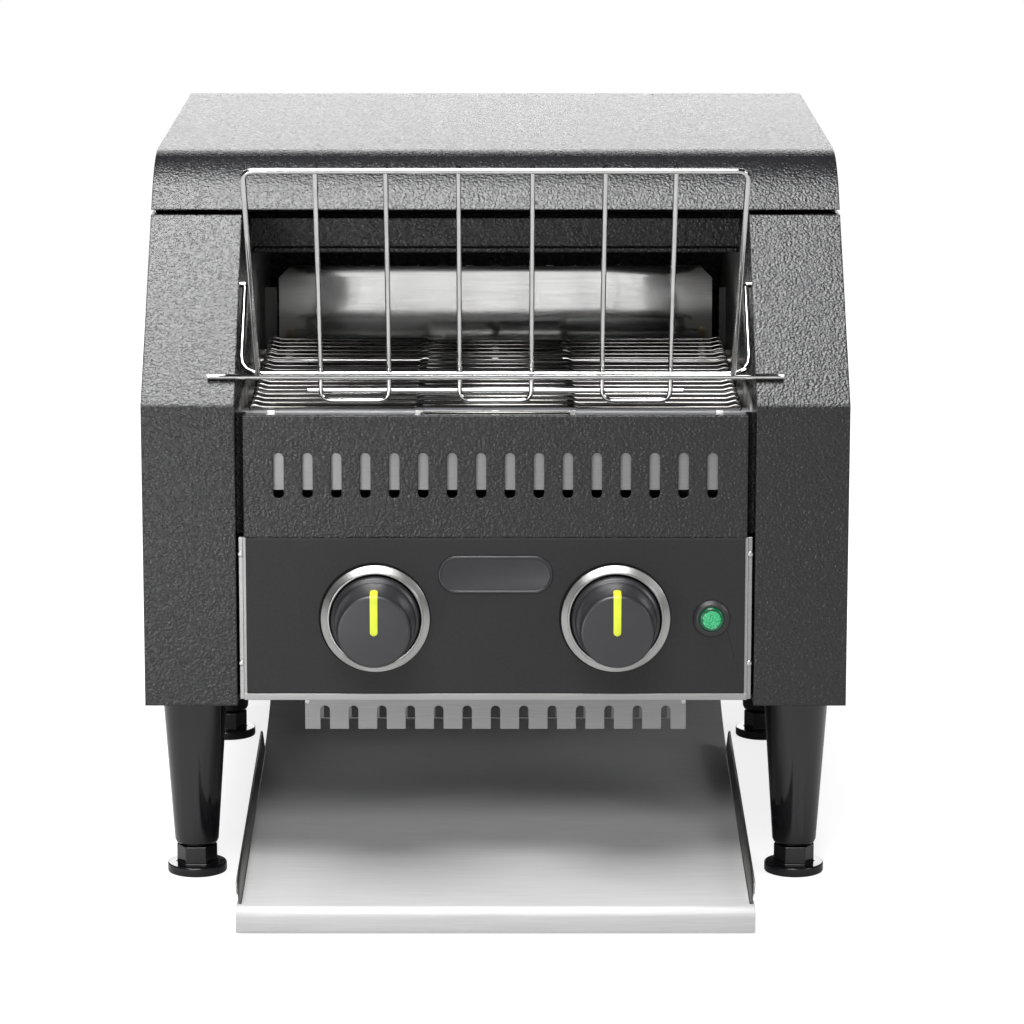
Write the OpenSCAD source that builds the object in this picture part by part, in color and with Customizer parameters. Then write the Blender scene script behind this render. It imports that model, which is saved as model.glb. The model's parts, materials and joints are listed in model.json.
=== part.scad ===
// Conveyor toaster with a loading rack above the belt and a toast tray under the body.
// Frame: +X to the right, +Y to the back, +Z up.
// The origin is on the table, at the middle of the footprint.
// Places that depend on the case are given as a depth behind the front face, through fy().

/* [Case] */
// Width of the case beside the mouth, on each side
side_w = 48.5; // [46:0.5:54]
// Depth of the case behind the rear belt shaft
rear_room = 183.1; // [180:0.1:190]
// Height of the cover above the table
top_z = 378; // [376:0.5:386]
// Height of the case bottom above the table
bottom_z = 102; // [96:0.5:103]
// Height at which the front face bends into the slope
bend_z = 262; // [260:0.5:263]
// Angle of the sloped front
slope_deg = 44; // [43:0.5:46]
// Depth at which the cover becomes flat
flat_start = 147; // [142:0.5:152]
// Height of the seam between the housings and the cover
seam_z = 350.4; // [348:0.1:353]
// Open gap along that seam
seam_gap = 2.4; // [1:0.1:3]
// Sheet thickness of the painted case
case_t = 1.5; // [1:0.1:2]
// Sheet thickness of the stainless inner parts
steel_t = 1; // [0.8:0.1:1.2]
// Outer radius of the case bends
bend_r = 3; // [2.5:0.25:4]

/* [Front] */
// Width of the slot panel and of the control panel
panel_w = 262.4; // [258:0.2:266]
// Gap between these panels and the cheek on each side
panel_gap = 4.3; // [3:0.1:6]
// Height of the slot panel's top edge
panel_top_z = 256.8; // [256:0.2:258]
// Height of the seam between slot panel and control panel
panel_seam_z = 192; // [188:0.5:196]
// Height of the control panel's bottom edge
panel_bottom_z = 108.5; // [107.5:0.25:109.5]
// Number of vent slots
slot_count = 16; // [12:1:17]
// Distance between vent slots
slot_pitch = 15.05; // [14:0.05:15.5]
// Width of a vent slot
slot_w = 5.5; // [4:0.1:6.5]
// Height of a vent slot
slot_h = 24; // [16:0.5:30]
// Height of the vent slots' middle
slot_z = 225.2; // [222:0.2:228]
// Depth of the header behind the front face
header_d = 165; // [160:0.5:170]
// Height of the header's lower lip
header_z = 318.2; // [316:0.2:320]
// Height of the header's top edge
header_top_z = 337.4; // [334:0.2:340]

/* [Controls] */
// Distance of each knob's axis from the middle
knob_x = 62.9; // [58:0.1:66]
// Height of the knob axes
knob_z = 149; // [144:0.5:152]
// Outer diameter of a dial ring
ring_d = 57.2; // [54:0.2:60]
// Inner diameter of a dial ring
ring_bore = 48.3; // [47.6:0.1:50]
// Height of a dial ring
ring_h = 2.6; // [1.5:0.1:3]
// Diameter of a knob's skirt
knob_d = 46; // [42:0.2:47]
// Diameter of a knob's face
knob_face_d = 37; // [32:0.2:40]
// How far a knob stands out
knob_out = 32; // [26:0.5:34]
// Width of a pointer inlay
pointer_w = 4; // [3:0.1:5]
// Distance of the lamp from the right edge of the control panel
lamp_in = 18.2; // [15:0.1:22]
// Diameter of the lamp's bezel
lamp_d = 19.5; // [17:0.1:22]
// Diameter of the lamp's lens
lens_d = 13.3; // [11:0.1:15]
// Width of the badge plate
badge_w = 60; // [50:0.5:64]
// Height of the badge plate
badge_h = 20; // [16:0.5:22]
// Height of the badge plate's middle
badge_z = 172.5; // [170:0.5:175]

/* [Belt] */
// Pitch of the belt wires
belt_pitch = 12.7; // [12.5:0.05:12.9]
// Teeth on a belt sprocket
belt_teeth = 6; // [6:1:6]
// Wire pitches between the two belt shafts
belt_steps = 17; // [16:1:17]
// Diameter of the belt wire
belt_wire = 1.6; // [1.2:0.1:2]
// Gap between the belt and the cheek on each side
belt_side_gap = 6.5; // [4.5:0.25:7.5]
// Height of the belt's top wires
belt_z = 257.8; // [257:0.1:258.4]
// Depth of the front belt shaft
front_shaft_d = 19; // [18.5:0.1:20]
// Diameter of the belt shafts
shaft_dia = 8; // [6:0.5:10]
// Distance of the belt's inner joints from the middle
belt_joint_x = 40; // [36:0.5:44]

/* [Drive] */
// Pitch of the drive chain
chain_pitch = 6.35; // [6:0.05:6.5]
// Teeth on the drive sprocket
drive_teeth = 18; // [16:1:20]
// Teeth on the motor sprocket
motor_teeth = 12; // [11:1:13]
// Distance of the chain's middle from the inner wall
chain_out = 13.5; // [12:0.1:16]
// Distance of the motor's output shaft in front of the rear belt shaft
motor_ahead = 44.5; // [40:0.5:52]
// Height of the motor's output shaft
motor_z = 165; // [160:1:170]

/* [Heating] */
// Diameter of a heater tube
heater_dia = 10; // [8:0.5:12]
// Depth of the first upper heater
heater_first_d = 190; // [189:0.5:191]
// Distance between upper heaters
heater_pitch = 22; // [21:0.5:23]
// Number of upper heaters
heater_count = 3; // [2:1:3]
// Height of the upper heaters
heater_z = 322; // [320:0.5:323]
// Depth of the first lower heater
low_heater_first_d = 60; // [50:1:70]
// Distance between lower heaters
low_heater_pitch = 65; // [55:1:68]

/* [Rack] */
// Diameter of the rack's long rods
rack_rod = 3; // [2.5:0.1:3.4]
// Diameter of the rack's grid wires
rack_wire = 2.7; // [2.2:0.1:3]
// How far the rest rod reaches past each cheek
rest_rod_over = 14.4; // [10:0.1:18]
// Width of the rack frame at the top
rack_top_w = 258; // [250:0.5:262]
// Width of the rack frame at the rest rod
rack_low_w = 250; // [244:0.5:256]
// Depth of the rest rod (it lies on the slope)
rest_rod_d = 11.3; // [10:0.1:14]
// Distance of the frame's top bar in front of the front face
rack_top_out = 40; // [34:0.5:46]
// Height of the frame's top bar
rack_top_z = 389.5; // [382:0.5:392]
// Depth of the rack's pivot
pivot_d = 64; // [62:0.5:70]
// Height of the rack's pivot
pivot_z = 315.7; // [313:0.1:316]
// Running clearance between a pin and its bore, on the radius
run_gap = 0.05; // [0.02:0.01:0.08]

/* [Tray] */
// How much narrower than the mouth the tray's floor is, on each side
tray_gap = 4; // [2.5:0.25:7]
// How far the tray stands out in front of the case
tray_out = 77; // [65:0.5:90]
// Height of the tray floor at the front
tray_front_z = 14.4; // [12:0.1:16]
// Height of the tray's lip above the table
tray_lip_z = 1.2; // [1:0.1:3]
// Angle of the tray floor
tray_deg = 3.42; // [3:0.02:4]
// Length of the tray's rear part, which curves up
tray_curve_l = 133; // [125:1:145]
// Radius of that curve
tray_curve_r = 362; // [340:1:380]
// Distance of the tray's rear end from the back of the case
tray_end_in = 100; // [98:1:108]
// Height of the tray's side walls
tray_wall_h = 11; // [8:0.5:13]

/* [Feet] */
// Distance of the legs' axes from the sides of the case
leg_in = 23.25; // [21:0.25:25]
// Depth of the front legs' axes
leg_front_d = 43.3; // [36:0.1:50]
// Distance of the rear legs' axes from the back of the case
leg_rear_in = 83.6; // [78:0.1:88]
// Diameter of a leg at the top
leg_top_dia = 35; // [32:0.5:37]
// Diameter of a leg at the bottom
leg_low_dia = 23.4; // [21:0.2:25]
// Height of a leg's lower end above the table
leg_low_z = 15.5; // [14:0.25:17]
// Diameter of a foot pad
pad_dia = 31.7; // [28:0.1:34]
// Thickness of a foot pad
pad_h = 5; // [4:0.25:6]
// Width across the flats of a foot's hexagon
hex_af = 19; // [17:0.5:20]

/* [Back] */
// How far the cable gland stands out behind the case
gland_out = 11; // [9:0.5:13]
// Distance of the gland's axis from the side of the case
gland_in = 32; // [30.5:0.5:34]
// Height of the gland
gland_z = 132; // [126:1:140]

/* [Hidden] */
$fn = 48;

// Places across the case and along it
mouth_w = panel_w + 2 * panel_gap;
cheek_x = mouth_w / 2;
wall_x = cheek_x + case_t;
half_w = cheek_x + side_w;
side_mid_x = (wall_x + steel_t + half_w - case_t) / 2;
rear_shaft_d = front_shaft_d + belt_steps * belt_pitch;
body_d = rear_shaft_d + rear_room;
leg_x = half_w - leg_in;
leg_rear_d = body_d - leg_rear_in;
gland_x = -(half_w - gland_in);
lamp_x = panel_w / 2 - lamp_in;
tray_w = mouth_w - 2 * tray_gap;
tray_end_d = body_d - tray_end_in;
tray_curve_d = tray_end_d - tray_curve_l;
seam_low = seam_z - seam_gap / 2;
seam_high = seam_z + seam_gap / 2;
base_z = bottom_z + case_t;
floor_z = base_z + case_t;
gap = 0.3;
big = 600;

// The front face lies where the bounding box is centred on Y = 0
front_y = -(body_d + gland_out - tray_out) / 2;
function fy(depth) = front_y + depth;

// Outline of the case in the Y, Z plane, for a face that lies d inside the outer one
top_r = (flat_start * tan(slope_deg) - (top_z - bend_z)) * cos(slope_deg) / (1 - cos(slope_deg));
function slope_at(depth) = bend_z + depth * tan(slope_deg);
function arc(c, r, a0, a1, n) = [
    for (i = [0:n]) let (a = a0 + (a1 - a0) * i / n) c + r * [cos(a), sin(a)]
];
function bend_point(d) = [fy(d), bend_z - d * (1 - sin(slope_deg)) / cos(slope_deg)];
function case_points(d) = concat(
    [[fy(d), bottom_z + d]],
    arc(bend_point(bend_r), bend_r - d, 180, 90 + slope_deg, 4),
    arc([fy(flat_start), top_z - top_r], top_r - d, 90 + slope_deg, 90, 12),
    [[fy(body_d - d), top_z - d], [fy(body_d - d), bottom_z + d]]
);

// Places of the belt, the drive and the rack
belt_r = belt_pitch / (2 * sin(180 / belt_teeth));
shaft_z = belt_z - belt_r;
belt_w = mouth_w - 2 * belt_side_gap;
belt_clear = 0.6;
belt_tip_r = belt_r - belt_wire / 2 - belt_clear;
sprocket_in = 11.5;
sprocket_x = belt_w / 2 - sprocket_in;
sprocket_xs = [-sprocket_x, -belt_joint_x, 0, belt_joint_x, sprocket_x];
motor_d = rear_shaft_d - motor_ahead;
chain_x = wall_x + steel_t + chain_out;
drive_r = chain_pitch / (2 * sin(180 / drive_teeth));
motor_r = chain_pitch / (2 * sin(180 / motor_teeth));
roller_r = 1.65;
chain_clear = 0.4;
chain_w = 3.2;
chain_plate_t = 0.8;
rest_rod_l = mouth_w + 2 * rest_rod_over;
rest_rod_z = slope_at(rest_rod_d) + (rack_rod / 2 + gap) / cos(slope_deg);
rack_lean = atan2(rest_rod_d + rack_top_out, rack_top_z - rest_rod_z);

// Turns a drawing in the Y, Z plane into a solid between two X places
module side_extrude(x0, x1) {
    translate([x0, 0, 0])
        rotate([90, 0, 90])
            linear_extrude(x1 - x0)
                children();
}

// Turns a drawing in the X, Z plane into a solid between two depths
module front_extrude(d0, d1) {
    translate([0, fy(d1), 0])
        rotate([90, 0, 0])
            linear_extrude(d1 - d0)
                children();
}

// A round bar along X
module x_rod(x0, x1, depth, z, r) {
    translate([x0, fy(depth), z])
        rotate([0, 90, 0])
            cylinder(h = x1 - x0, r = r);
}

// A round bar along Y
module y_rod(d0, d1, x, z, r) {
    translate([x, fy(d0), z])
        rotate([-90, 0, 0])
            cylinder(h = d1 - d0, r = r);
}

// A box between two X places, two depths and two heights
module block(x0, x1, d0, d1, z0, z1) {
    translate([x0, fy(d0), z0])
        cube([x1 - x0, d1 - d0, z1 - z0]);
}

// The same shape on both sides
module both_sides() {
    children();
    mirror([1, 0, 0]) children();
}

// Points of a bent wire: each inner corner is rounded off over its own length
function unit(v) = v / norm(v);
function rounded(p, reach, steps = 4) = [
    p[0],
    for (i = [1:len(p) - 2])
        let (a = unit(p[i - 1] - p[i]), b = unit(p[i + 1] - p[i]))
            for (k = [0:steps])
                p[i] + reach[i - 1] * (pow(1 - k / steps, 2) * a + pow(k / steps, 2) * b),
    p[len(p) - 1]
];
function tangent(p, i) = unit(
    (i > 0 ? unit(p[i] - p[i - 1]) : [0, 0, 0])
    + (i < len(p) - 1 ? unit(p[i + 1] - p[i]) : [0, 0, 0])
);
function normals(p, i, before) = i == len(p) ? [] :
    let (t = tangent(p, i), n = unit(before - (before * t) * t)) concat([n], normals(p, i + 1, n));

// Round wire swept along points; aside is any direction across its first stretch
wire_sides = 12;

module wire(p, dia, aside) {
    n = wire_sides;
    us = normals(p, 0, aside);
    points = [
        for (i = [0:len(p) - 1])
            let (v = cross(tangent(p, i), us[i]))
                for (k = [0:n - 1])
                    p[i] + dia / 2 * (cos(k * 360 / n) * us[i] + sin(k * 360 / n) * v)
    ];
    faces = [
        [for (k = [0:n - 1]) k],
        [for (k = [n - 1:-1:0]) (len(p) - 1) * n + k],
        for (i = [0:len(p) - 2], k = [0:n - 1])
            let (a = i * n + k, b = i * n + (k + 1) % n)
                each [[a, a + n, b], [b, a + n, b + n]]
    ];
    polyhedron(points, faces, convexity = 6);
}

module case_outline(d) {
    polygon(case_points(d));
}

module case_sheet() {
    difference() {
        case_outline(0);
        case_outline(case_t);
    }
}

module below(z) {
    translate([fy(-big), z - big]) square([3 * big, big]);
}

module above(z) {
    translate([fy(-big), z]) square([3 * big, big]);
}

module before(depth) {
    translate([fy(depth) - big, 0]) square([big, big]);
}

// Upright slots with round ends, in the X, Z or Y, Z plane
module upright_slots(count, pitch, width, height) {
    for (i = [0:count - 1])
        translate([(i - (count - 1) / 2) * pitch, 0])
            upright_slot(width, height);
}

module upright_slot(width, height) {
    reach = (height - width) / 2;
    translate([-width / 2, -reach]) square([width, 2 * reach]);
    translate([0, reach]) circle(d = width, $fn = 24);
    translate([0, -reach]) circle(d = width, $fn = 24);
}

// ---- Case ----

cover_hem = 8;
cover_screw_z = (seam_high + top_z) / 2;
cover_screw_in = 34;
cover_screw_xs = [for (s = [-1, -0.4, 0.4, 1]) s * (half_w - cover_screw_in)];
screw_r = 2;
screw_hole_r = 2.2;

module top_cover() {
    color("dimgray")
        difference() {
            union() {
                side_extrude(-half_w, half_w) intersection() {
                    case_sheet();
                    above(seam_high);
                }
                both_sides()
                    side_extrude(half_w - case_t, half_w) intersection() {
                        case_outline(0);
                        above(seam_high);
                    }
                side_extrude(-half_w, half_w) intersection() {
                    case_outline(0);
                    above(seam_high);
                    below(seam_high + case_t);
                    before((seam_high - bend_z) / tan(slope_deg) + cover_hem);
                }
            }
            for (x = cover_screw_xs)
                y_rod(body_d - 2 * case_t, body_d + case_t, x, cover_screw_z, screw_hole_r);
        }
}

flange_w = 18;
cheek_low_z = 231;
cheek_front_d = 40;
cheek_back_z = belt_z - 2;
cheek_end_d = header_d + 2 * case_t;
shaft_hole_r = 10;
pin_r = rack_rod / 2;
return_d = 14;
side_vent_d = 300;
side_vent_z = 170;
side_vents = 8;
side_vent_pitch = 13;
side_vent_w = 5;
side_vent_h = 42;
leg_hole_r = 4.4;
leg_bolt_r = 4;
rear_screw_zs = [128, 225, 322];
rear_screw_x = half_w - flange_w / 2;
seam_lip_h = 4;
seam_lip_d = (seam_high - bend_z) / tan(slope_deg) + cover_hem + gap;

module housing_shape() {
    difference() {
        union() {
            side_extrude(half_w - case_t, half_w) intersection() {
                case_outline(0);
                below(seam_low);
            }
            side_extrude(cheek_x, half_w) intersection() {
                case_sheet();
                below(seam_low);
                union() {
                    before(body_d / 2);
                    below(bottom_z + case_t);
                }
            }
            side_extrude(half_w - flange_w, half_w) intersection() {
                case_outline(0);
                below(seam_low);
                above(seam_low - case_t);
                before(body_d - case_t);
            }
            block(half_w - flange_w, half_w, body_d - 2 * case_t, body_d - case_t,
                bottom_z, seam_low);
            block(half_w - 2 * case_t - gap, half_w - case_t - gap, seam_lip_d, body_d - 2 * case_t,
                seam_low - case_t, seam_high + seam_lip_h);
            side_extrude(cheek_x, wall_x) intersection() {
                case_outline(0);
                below(seam_low);
                before(cheek_end_d);
                union() {
                    above(cheek_back_z);
                    intersection() {
                        above(cheek_low_z);
                        before(cheek_front_d);
                    }
                    intersection() {
                        above(floor_z);
                        before(return_d);
                    }
                }
            }
        }
        x_rod(cheek_x - 1, wall_x + 1, pivot_d, pivot_z, pin_r + run_gap);
        x_rod(cheek_x - 1, wall_x + 1, front_shaft_d, shaft_z, shaft_hole_r);
        for (d = [leg_front_d, leg_rear_d])
            translate([leg_x, fy(d), bottom_z - 1]) cylinder(h = 2 * case_t, r = leg_hole_r);
        for (z = rear_screw_zs)
            y_rod(body_d - 3 * case_t, body_d, rear_screw_x, z, screw_hole_r);
        side_extrude(half_w - 2 * case_t, half_w + case_t)
            translate([fy(side_vent_d), side_vent_z])
                upright_slots(side_vents, side_vent_pitch, side_vent_w, side_vent_h);
    }
}

module left_housing() {
    color("dimgray") mirror([1, 0, 0]) housing_shape();
}

module right_housing() {
    color("dimgray") housing_shape();
}

wall_low_d = 3;
wall_end_d = body_d - 10.5;
bushing_r = 6;
cap_barrel_r = 7;
motor_hole_r = 12;
guide_in = 68;
guide_d = body_d - guide_in;
guide_hole_in = 98;
guide_hole_z = 249;
guide_hole_r = 4;
guide_low_z = 235;
guide_high_z = 270;
left_guide_w = 7;
right_guide_w = 4;
wall_flange = 12;

function row(first, pitch) = [for (i = [0:heater_count - 1]) first + i * pitch];
function heater_depths() = row(heater_first_d, heater_pitch);
function low_heater_depths() = row(low_heater_first_d, low_heater_pitch);

module inner_wall_shape(guide_w) {
    difference() {
        union() {
            side_extrude(wall_x, wall_x + steel_t) intersection() {
                case_outline(case_t);
                above(floor_z);
                translate([fy(wall_low_d), 0]) square([wall_end_d - wall_low_d, big]);
                union() {
                    below(bend_z - bend_r);
                    translate([fy(header_d - case_t), 0]) square([big, big]);
                }
            }
            block(wall_x, wall_x + wall_flange, wall_low_d, wall_end_d, floor_z, floor_z + steel_t);
            block(wall_x, wall_x + wall_flange, cheek_end_d, wall_end_d,
                top_z - case_t - steel_t, top_z - case_t);
            block(wall_x - guide_w, wall_x + steel_t, guide_d, guide_d + steel_t,
                guide_low_z, guide_high_z);
        }
        x_rod(wall_x - 1, wall_x + 2, front_shaft_d, shaft_z, bushing_r);
        x_rod(wall_x - 1, wall_x + 2, rear_shaft_d, shaft_z, bushing_r);
        x_rod(wall_x - 1, wall_x + 2, body_d - guide_hole_in, guide_hole_z, guide_hole_r);
        for (d = heater_depths())
            x_rod(wall_x - 1, wall_x + 2, d, heater_z, cap_barrel_r);
        for (d = low_heater_depths())
            x_rod(wall_x - 1, wall_x + 2, d, shaft_z, cap_barrel_r);
        for (d = [leg_front_d, leg_rear_d])
            translate([leg_x, fy(d), floor_z - 1]) cylinder(h = leg_nut_h + 2, r = leg_nut_r + 1);
    }
}

module left_inner_wall() {
    color("silver") mirror([1, 0, 0]) inner_wall_shape(left_guide_w);
}

module right_inner_wall() {
    color("silver") difference() {
        inner_wall_shape(right_guide_w);
        x_rod(wall_x - 1, wall_x + 2, motor_d, motor_z, motor_hole_r);
    }
}

drop_near = 9.5;
drop_far = 57;
drop_d0 = rear_shaft_d + drop_near;
drop_d1 = rear_shaft_d + drop_far;
base_front_d = 12;
drop_x = wall_x - 2;
fan_x = -60;
fan_size = 80;
fan_ahead = 14.4;
fan_d = drop_d0 - fan_ahead - fan_size / 2;
fan_h = 20;
fan_slots = 9;
fan_slot_pitch = 8;
fan_slot_w = 4.5;
fan_slot_l = 70;

module base_plate() {
    color("silver") difference() {
        block(-half_w + case_t, half_w - case_t, base_front_d, body_d - 2 * case_t, base_z, floor_z);
        block(-drop_x, drop_x, drop_d0, drop_d1, base_z - 1, floor_z + 1);
        for (x = [-leg_x, leg_x], d = [leg_front_d, leg_rear_d])
            translate([x, fy(d), base_z - 1]) cylinder(h = 4, r = leg_hole_r);
        translate([fan_x, fy(fan_d), base_z - 1])
            linear_extrude(4)
                upright_slots(fan_slots, fan_slot_pitch, fan_slot_w, fan_slot_l);
    }
}

rear_vents = 13;
rear_vent_pitch = 16;
rear_vent_w = 5;
rear_vent_h = 34;
rear_vent_z = 312;
gland_r = 8;

module rear_panel() {
    color("dimgray") difference() {
        block(-half_w + case_t, half_w - case_t, body_d - case_t, body_d, base_z, seam_low);
        for (x = [-rear_screw_x, rear_screw_x], z = rear_screw_zs)
            y_rod(body_d - 2 * case_t, body_d + 1, x, z, screw_hole_r);
        y_rod(body_d - 2 * case_t, body_d + 1, gland_x, gland_z, gland_r);
        front_extrude(body_d - 2 * case_t, body_d + 1)
            translate([0, rear_vent_z])
                upright_slots(rear_vents, rear_vent_pitch, rear_vent_w, rear_vent_h);
        front_extrude(body_d - 2 * case_t, body_d + 1)
            translate([0, side_vent_z])
                upright_slots(rear_vents, rear_vent_pitch, rear_vent_w, rear_vent_h);
    }
}

header_lip = 2.9;
header_lip_in = 2;
header_flange = 16;

module front_header() {
    color("dimgray") {
        block(-cheek_x, cheek_x, header_d, header_d + case_t, header_z, header_top_z);
        block(-cheek_x, cheek_x, header_d, header_d + header_flange,
            header_top_z - case_t, header_top_z);
        block(-cheek_x + header_lip_in, cheek_x - header_lip_in,
            header_d - header_lip_in, header_d + header_flange, header_z, header_z + header_lip);
    }
}

panel_flange = 2.5;
panel_return_t = 1;
panel_ear_d = 10;

module slot_panel() {
    half = panel_w / 2;
    low = panel_seam_z + gap;
    color("dimgray") difference() {
        union() {
            block(-half, half, 0, case_t, low, panel_top_z);
            block(-half, half, 0, panel_flange, panel_top_z - case_t, panel_top_z);
            both_sides() {
                block(half - panel_return_t, half, 0, panel_ear_d + case_t, low, panel_top_z);
                block(half - panel_return_t, cheek_x, panel_ear_d, panel_ear_d + case_t, low, panel_top_z);
            }
        }
        front_extrude(-1, case_t + 1)
            translate([0, slot_z])
                upright_slots(slot_count, slot_pitch, slot_w, slot_h);
    }
}

inner_face = case_t + steel_t;
spindle_r = 3;
bushing_hole_r = 5;
lamp_barrel_r = 6;

module control_holes(d0, d1) {
    for (x = [-knob_x, knob_x])
        y_rod(d0, d1, x, knob_z, bushing_hole_r);
    y_rod(d0, d1, lamp_x, knob_z, lamp_barrel_r);
}

trim_w = 0.8;
trim_ear = 3;
chassis_foot = 20;

module control_panel() {
    half = panel_w / 2 - trim_w;
    color("#3a3a3c") difference() {
        block(-half, half, 0, case_t, panel_bottom_z, panel_seam_z);
        control_holes(-1, case_t + 1);
    }
}

// Steel frame behind the control panel: it shows as a thin line beside and below it
module control_chassis() {
    half = panel_w / 2 + trim_w;
    color("silver") difference() {
        union() {
            block(-half, half, case_t, inner_face, floor_z, panel_seam_z);
            block(-half, half, 0, inner_face, floor_z, panel_bottom_z);
            block(-half, half, 0, chassis_foot, floor_z, floor_z + steel_t);
            both_sides()
                block(panel_w / 2 - steel_t, panel_w / 2 + trim_ear, inner_face, inner_face + steel_t,
                    floor_z, panel_seam_z);
        }
        control_holes(case_t - 1, inner_face + 1);
    }
}

baffle_d = 3;
baffle_low_z = 217;
baffle_high_z = 246;

module heat_baffle() {
    half = panel_w / 2 - panel_return_t - gap;
    color("lightgray") {
        block(-half, half, baffle_d, baffle_d + steel_t, baffle_low_z, baffle_high_z);
        both_sides()
            block(half - 2 * steel_t, half, case_t, baffle_d + steel_t, baffle_low_z, baffle_high_z);
    }
}

badge_t = 1.2;

module badge_plate() {
    color("#2c2c2e") front_extrude(-badge_t, 0)
        translate([0, badge_z])
            pill(badge_w, badge_h);
}

module pill(width, height) {
    square([width - height, height], center = true);
    for (s = [-1, 1])
        translate([s * (width - height) / 2, 0]) circle(d = height);
}

comb_w = 202;
comb_d = 20;
comb_low_z = 84.2;
comb_slots = 13;
comb_slot_w = 4.9;
comb_slot_top_z = 96.9;
comb_back = 50;
comb_back_low_z = 77.3;

module comb_guard() {
    half = comb_w / 2;
    back = comb_d + comb_back;
    color("silver") difference() {
        union() {
            block(-half, half, comb_d, comb_d + steel_t, comb_low_z, base_z);
            block(-half, half, comb_d, back, base_z - steel_t, base_z);
            block(-half, half, back - steel_t, back, comb_back_low_z, base_z);
        }
        comb_cuts(comb_d, comb_low_z - 1);
        comb_cuts(back - steel_t, comb_back_low_z + steel_t);
    }
}

// Row of slots through a leg of the comb, from the height low upwards
module comb_cuts(depth, low) {
    square_h = comb_slot_top_z - comb_slot_w / 2 - low;
    front_extrude(depth - 1, depth + steel_t + 1)
        for (i = [0:comb_slots - 1])
            translate([(i - (comb_slots - 1) / 2) * slot_pitch, low]) {
                translate([-comb_slot_w / 2, 0]) square([comb_slot_w, square_h]);
                translate([0, square_h]) circle(d = comb_slot_w, $fn = 24);
            }
}

rivet_in = 1.4;
rivet_drop = 4;
rivet_r = 1.4;
rivet_out = 0.6;
comb_screw_in = 10.6;
comb_screw_ahead = 4;
comb_screw_h = 2;

module comb_screws() {
    color("silver") both_sides() {
        y_rod(comb_d - rivet_out, comb_d, comb_w / 2 - rivet_in, base_z - rivet_drop, rivet_r);
        translate([comb_w / 2 - comb_screw_in, fy(comb_d - comb_screw_ahead), base_z - comb_screw_h])
            cylinder(h = comb_screw_h, r = screw_head_r);
    }
}

screw_head_r = 3.4;
screw_head_h = 1.8;
screw_l = 6;
panel_rivet_gap = 0.2;
panel_rivet_r = 0.9;
panel_rivet_x = panel_w / 2 + trim_w + panel_rivet_gap + panel_rivet_r;
panel_rivet_rise = 16;
panel_rivet_drop = 9;
panel_rivet_h = 0.8;

module case_screws() {
    color("silver") {
        for (x = cover_screw_xs)
            rear_screw(x, cover_screw_z);
        for (x = [-rear_screw_x, rear_screw_x], z = rear_screw_zs)
            rear_screw(x, z);
        for (x = [-panel_rivet_x, panel_rivet_x])
            for (z = [panel_bottom_z + panel_rivet_rise, panel_seam_z - panel_rivet_drop])
                y_rod(inner_face - panel_rivet_h, inner_face, x, z, panel_rivet_r);
    }
}

module rear_screw(x, z) {
    y_rod(body_d, body_d + screw_head_h, x, z, screw_head_r);
    y_rod(body_d - screw_l, body_d, x, z, screw_r);
}

// ---- Heating ----

reflector_behind = 11.4;
reflector_d1 = heater_depths()[heater_count - 1] + reflector_behind;
reflector_z = header_top_z - case_t;
reflector_drop = 26;
reflector_low_z = reflector_z - reflector_drop;
reflector_lip = 10;
reflector_lip_gap = 2;

module upper_reflector() {
    color("silver") {
        block(-wall_x, wall_x, cheek_end_d + gap, reflector_d1, reflector_z - steel_t, reflector_z);
        block(-wall_x, wall_x, reflector_d1 - steel_t, reflector_d1, reflector_low_z, reflector_z);
        both_sides()
            block(wall_x - steel_t, wall_x, header_d + header_flange + reflector_lip_gap, reflector_d1,
                reflector_z - steel_t, reflector_z + reflector_lip);
    }
}

low_reflector_gap = 2.4;
low_reflector_z = shaft_z - belt_r + belt_wire / 2 + low_reflector_gap;
low_reflector_reach = 14;
low_reflector_lip = 5;

module lower_reflector() {
    d0 = low_heater_depths()[0] - low_reflector_reach;
    d1 = low_heater_depths()[heater_count - 1] + low_reflector_reach;
    color("silver") {
        block(-wall_x, wall_x, d0, d1, low_reflector_z, low_reflector_z + steel_t);
        for (d = [d0, d1 - steel_t])
            block(-wall_x, wall_x, d, d + steel_t,
                low_reflector_z, low_reflector_z + low_reflector_lip);
    }
}

cap_flange_r = 10;
cap_out = 12;
cap_in = 2;
heater_half_l = wall_x + steel_t + cap_out - cap_in;

module heater(depth, z) {
    x_rod(-heater_half_l, heater_half_l, depth, z, heater_dia / 2);
}

module upper_heaters() {
    color("white") for (d = heater_depths()) heater(d, heater_z);
}

module lower_heaters() {
    color("white") for (d = low_heater_depths()) heater(d, shaft_z);
}

module end_cap(depth, z) {
    difference() {
        union() {
            x_rod(wall_x - cap_in, wall_x + steel_t, depth, z, cap_barrel_r);
            x_rod(wall_x + steel_t, wall_x + steel_t + cap_out, depth, z, cap_flange_r);
        }
        x_rod(wall_x - cap_in - 1, heater_half_l, depth, z, heater_dia / 2);
    }
}

module heater_end_caps() {
    color("ivory") both_sides() {
        for (d = heater_depths()) end_cap(d, heater_z);
        for (d = low_heater_depths()) end_cap(d, shaft_z);
    }
}

shield_z = 222;
shield_d0 = return_d + 1;
shield_lip = 6;

module heat_shield() {
    color("silver") {
        block(-wall_x, wall_x, shield_d0, drop_d0, shield_z - steel_t, shield_z);
        block(-wall_x, wall_x, drop_d0 - steel_t, drop_d0, floor_z, shield_z);
        block(-wall_x, wall_x, shield_d0, shield_d0 + steel_t,
            shield_z - steel_t, shield_z + shield_lip);
    }
}

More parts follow.
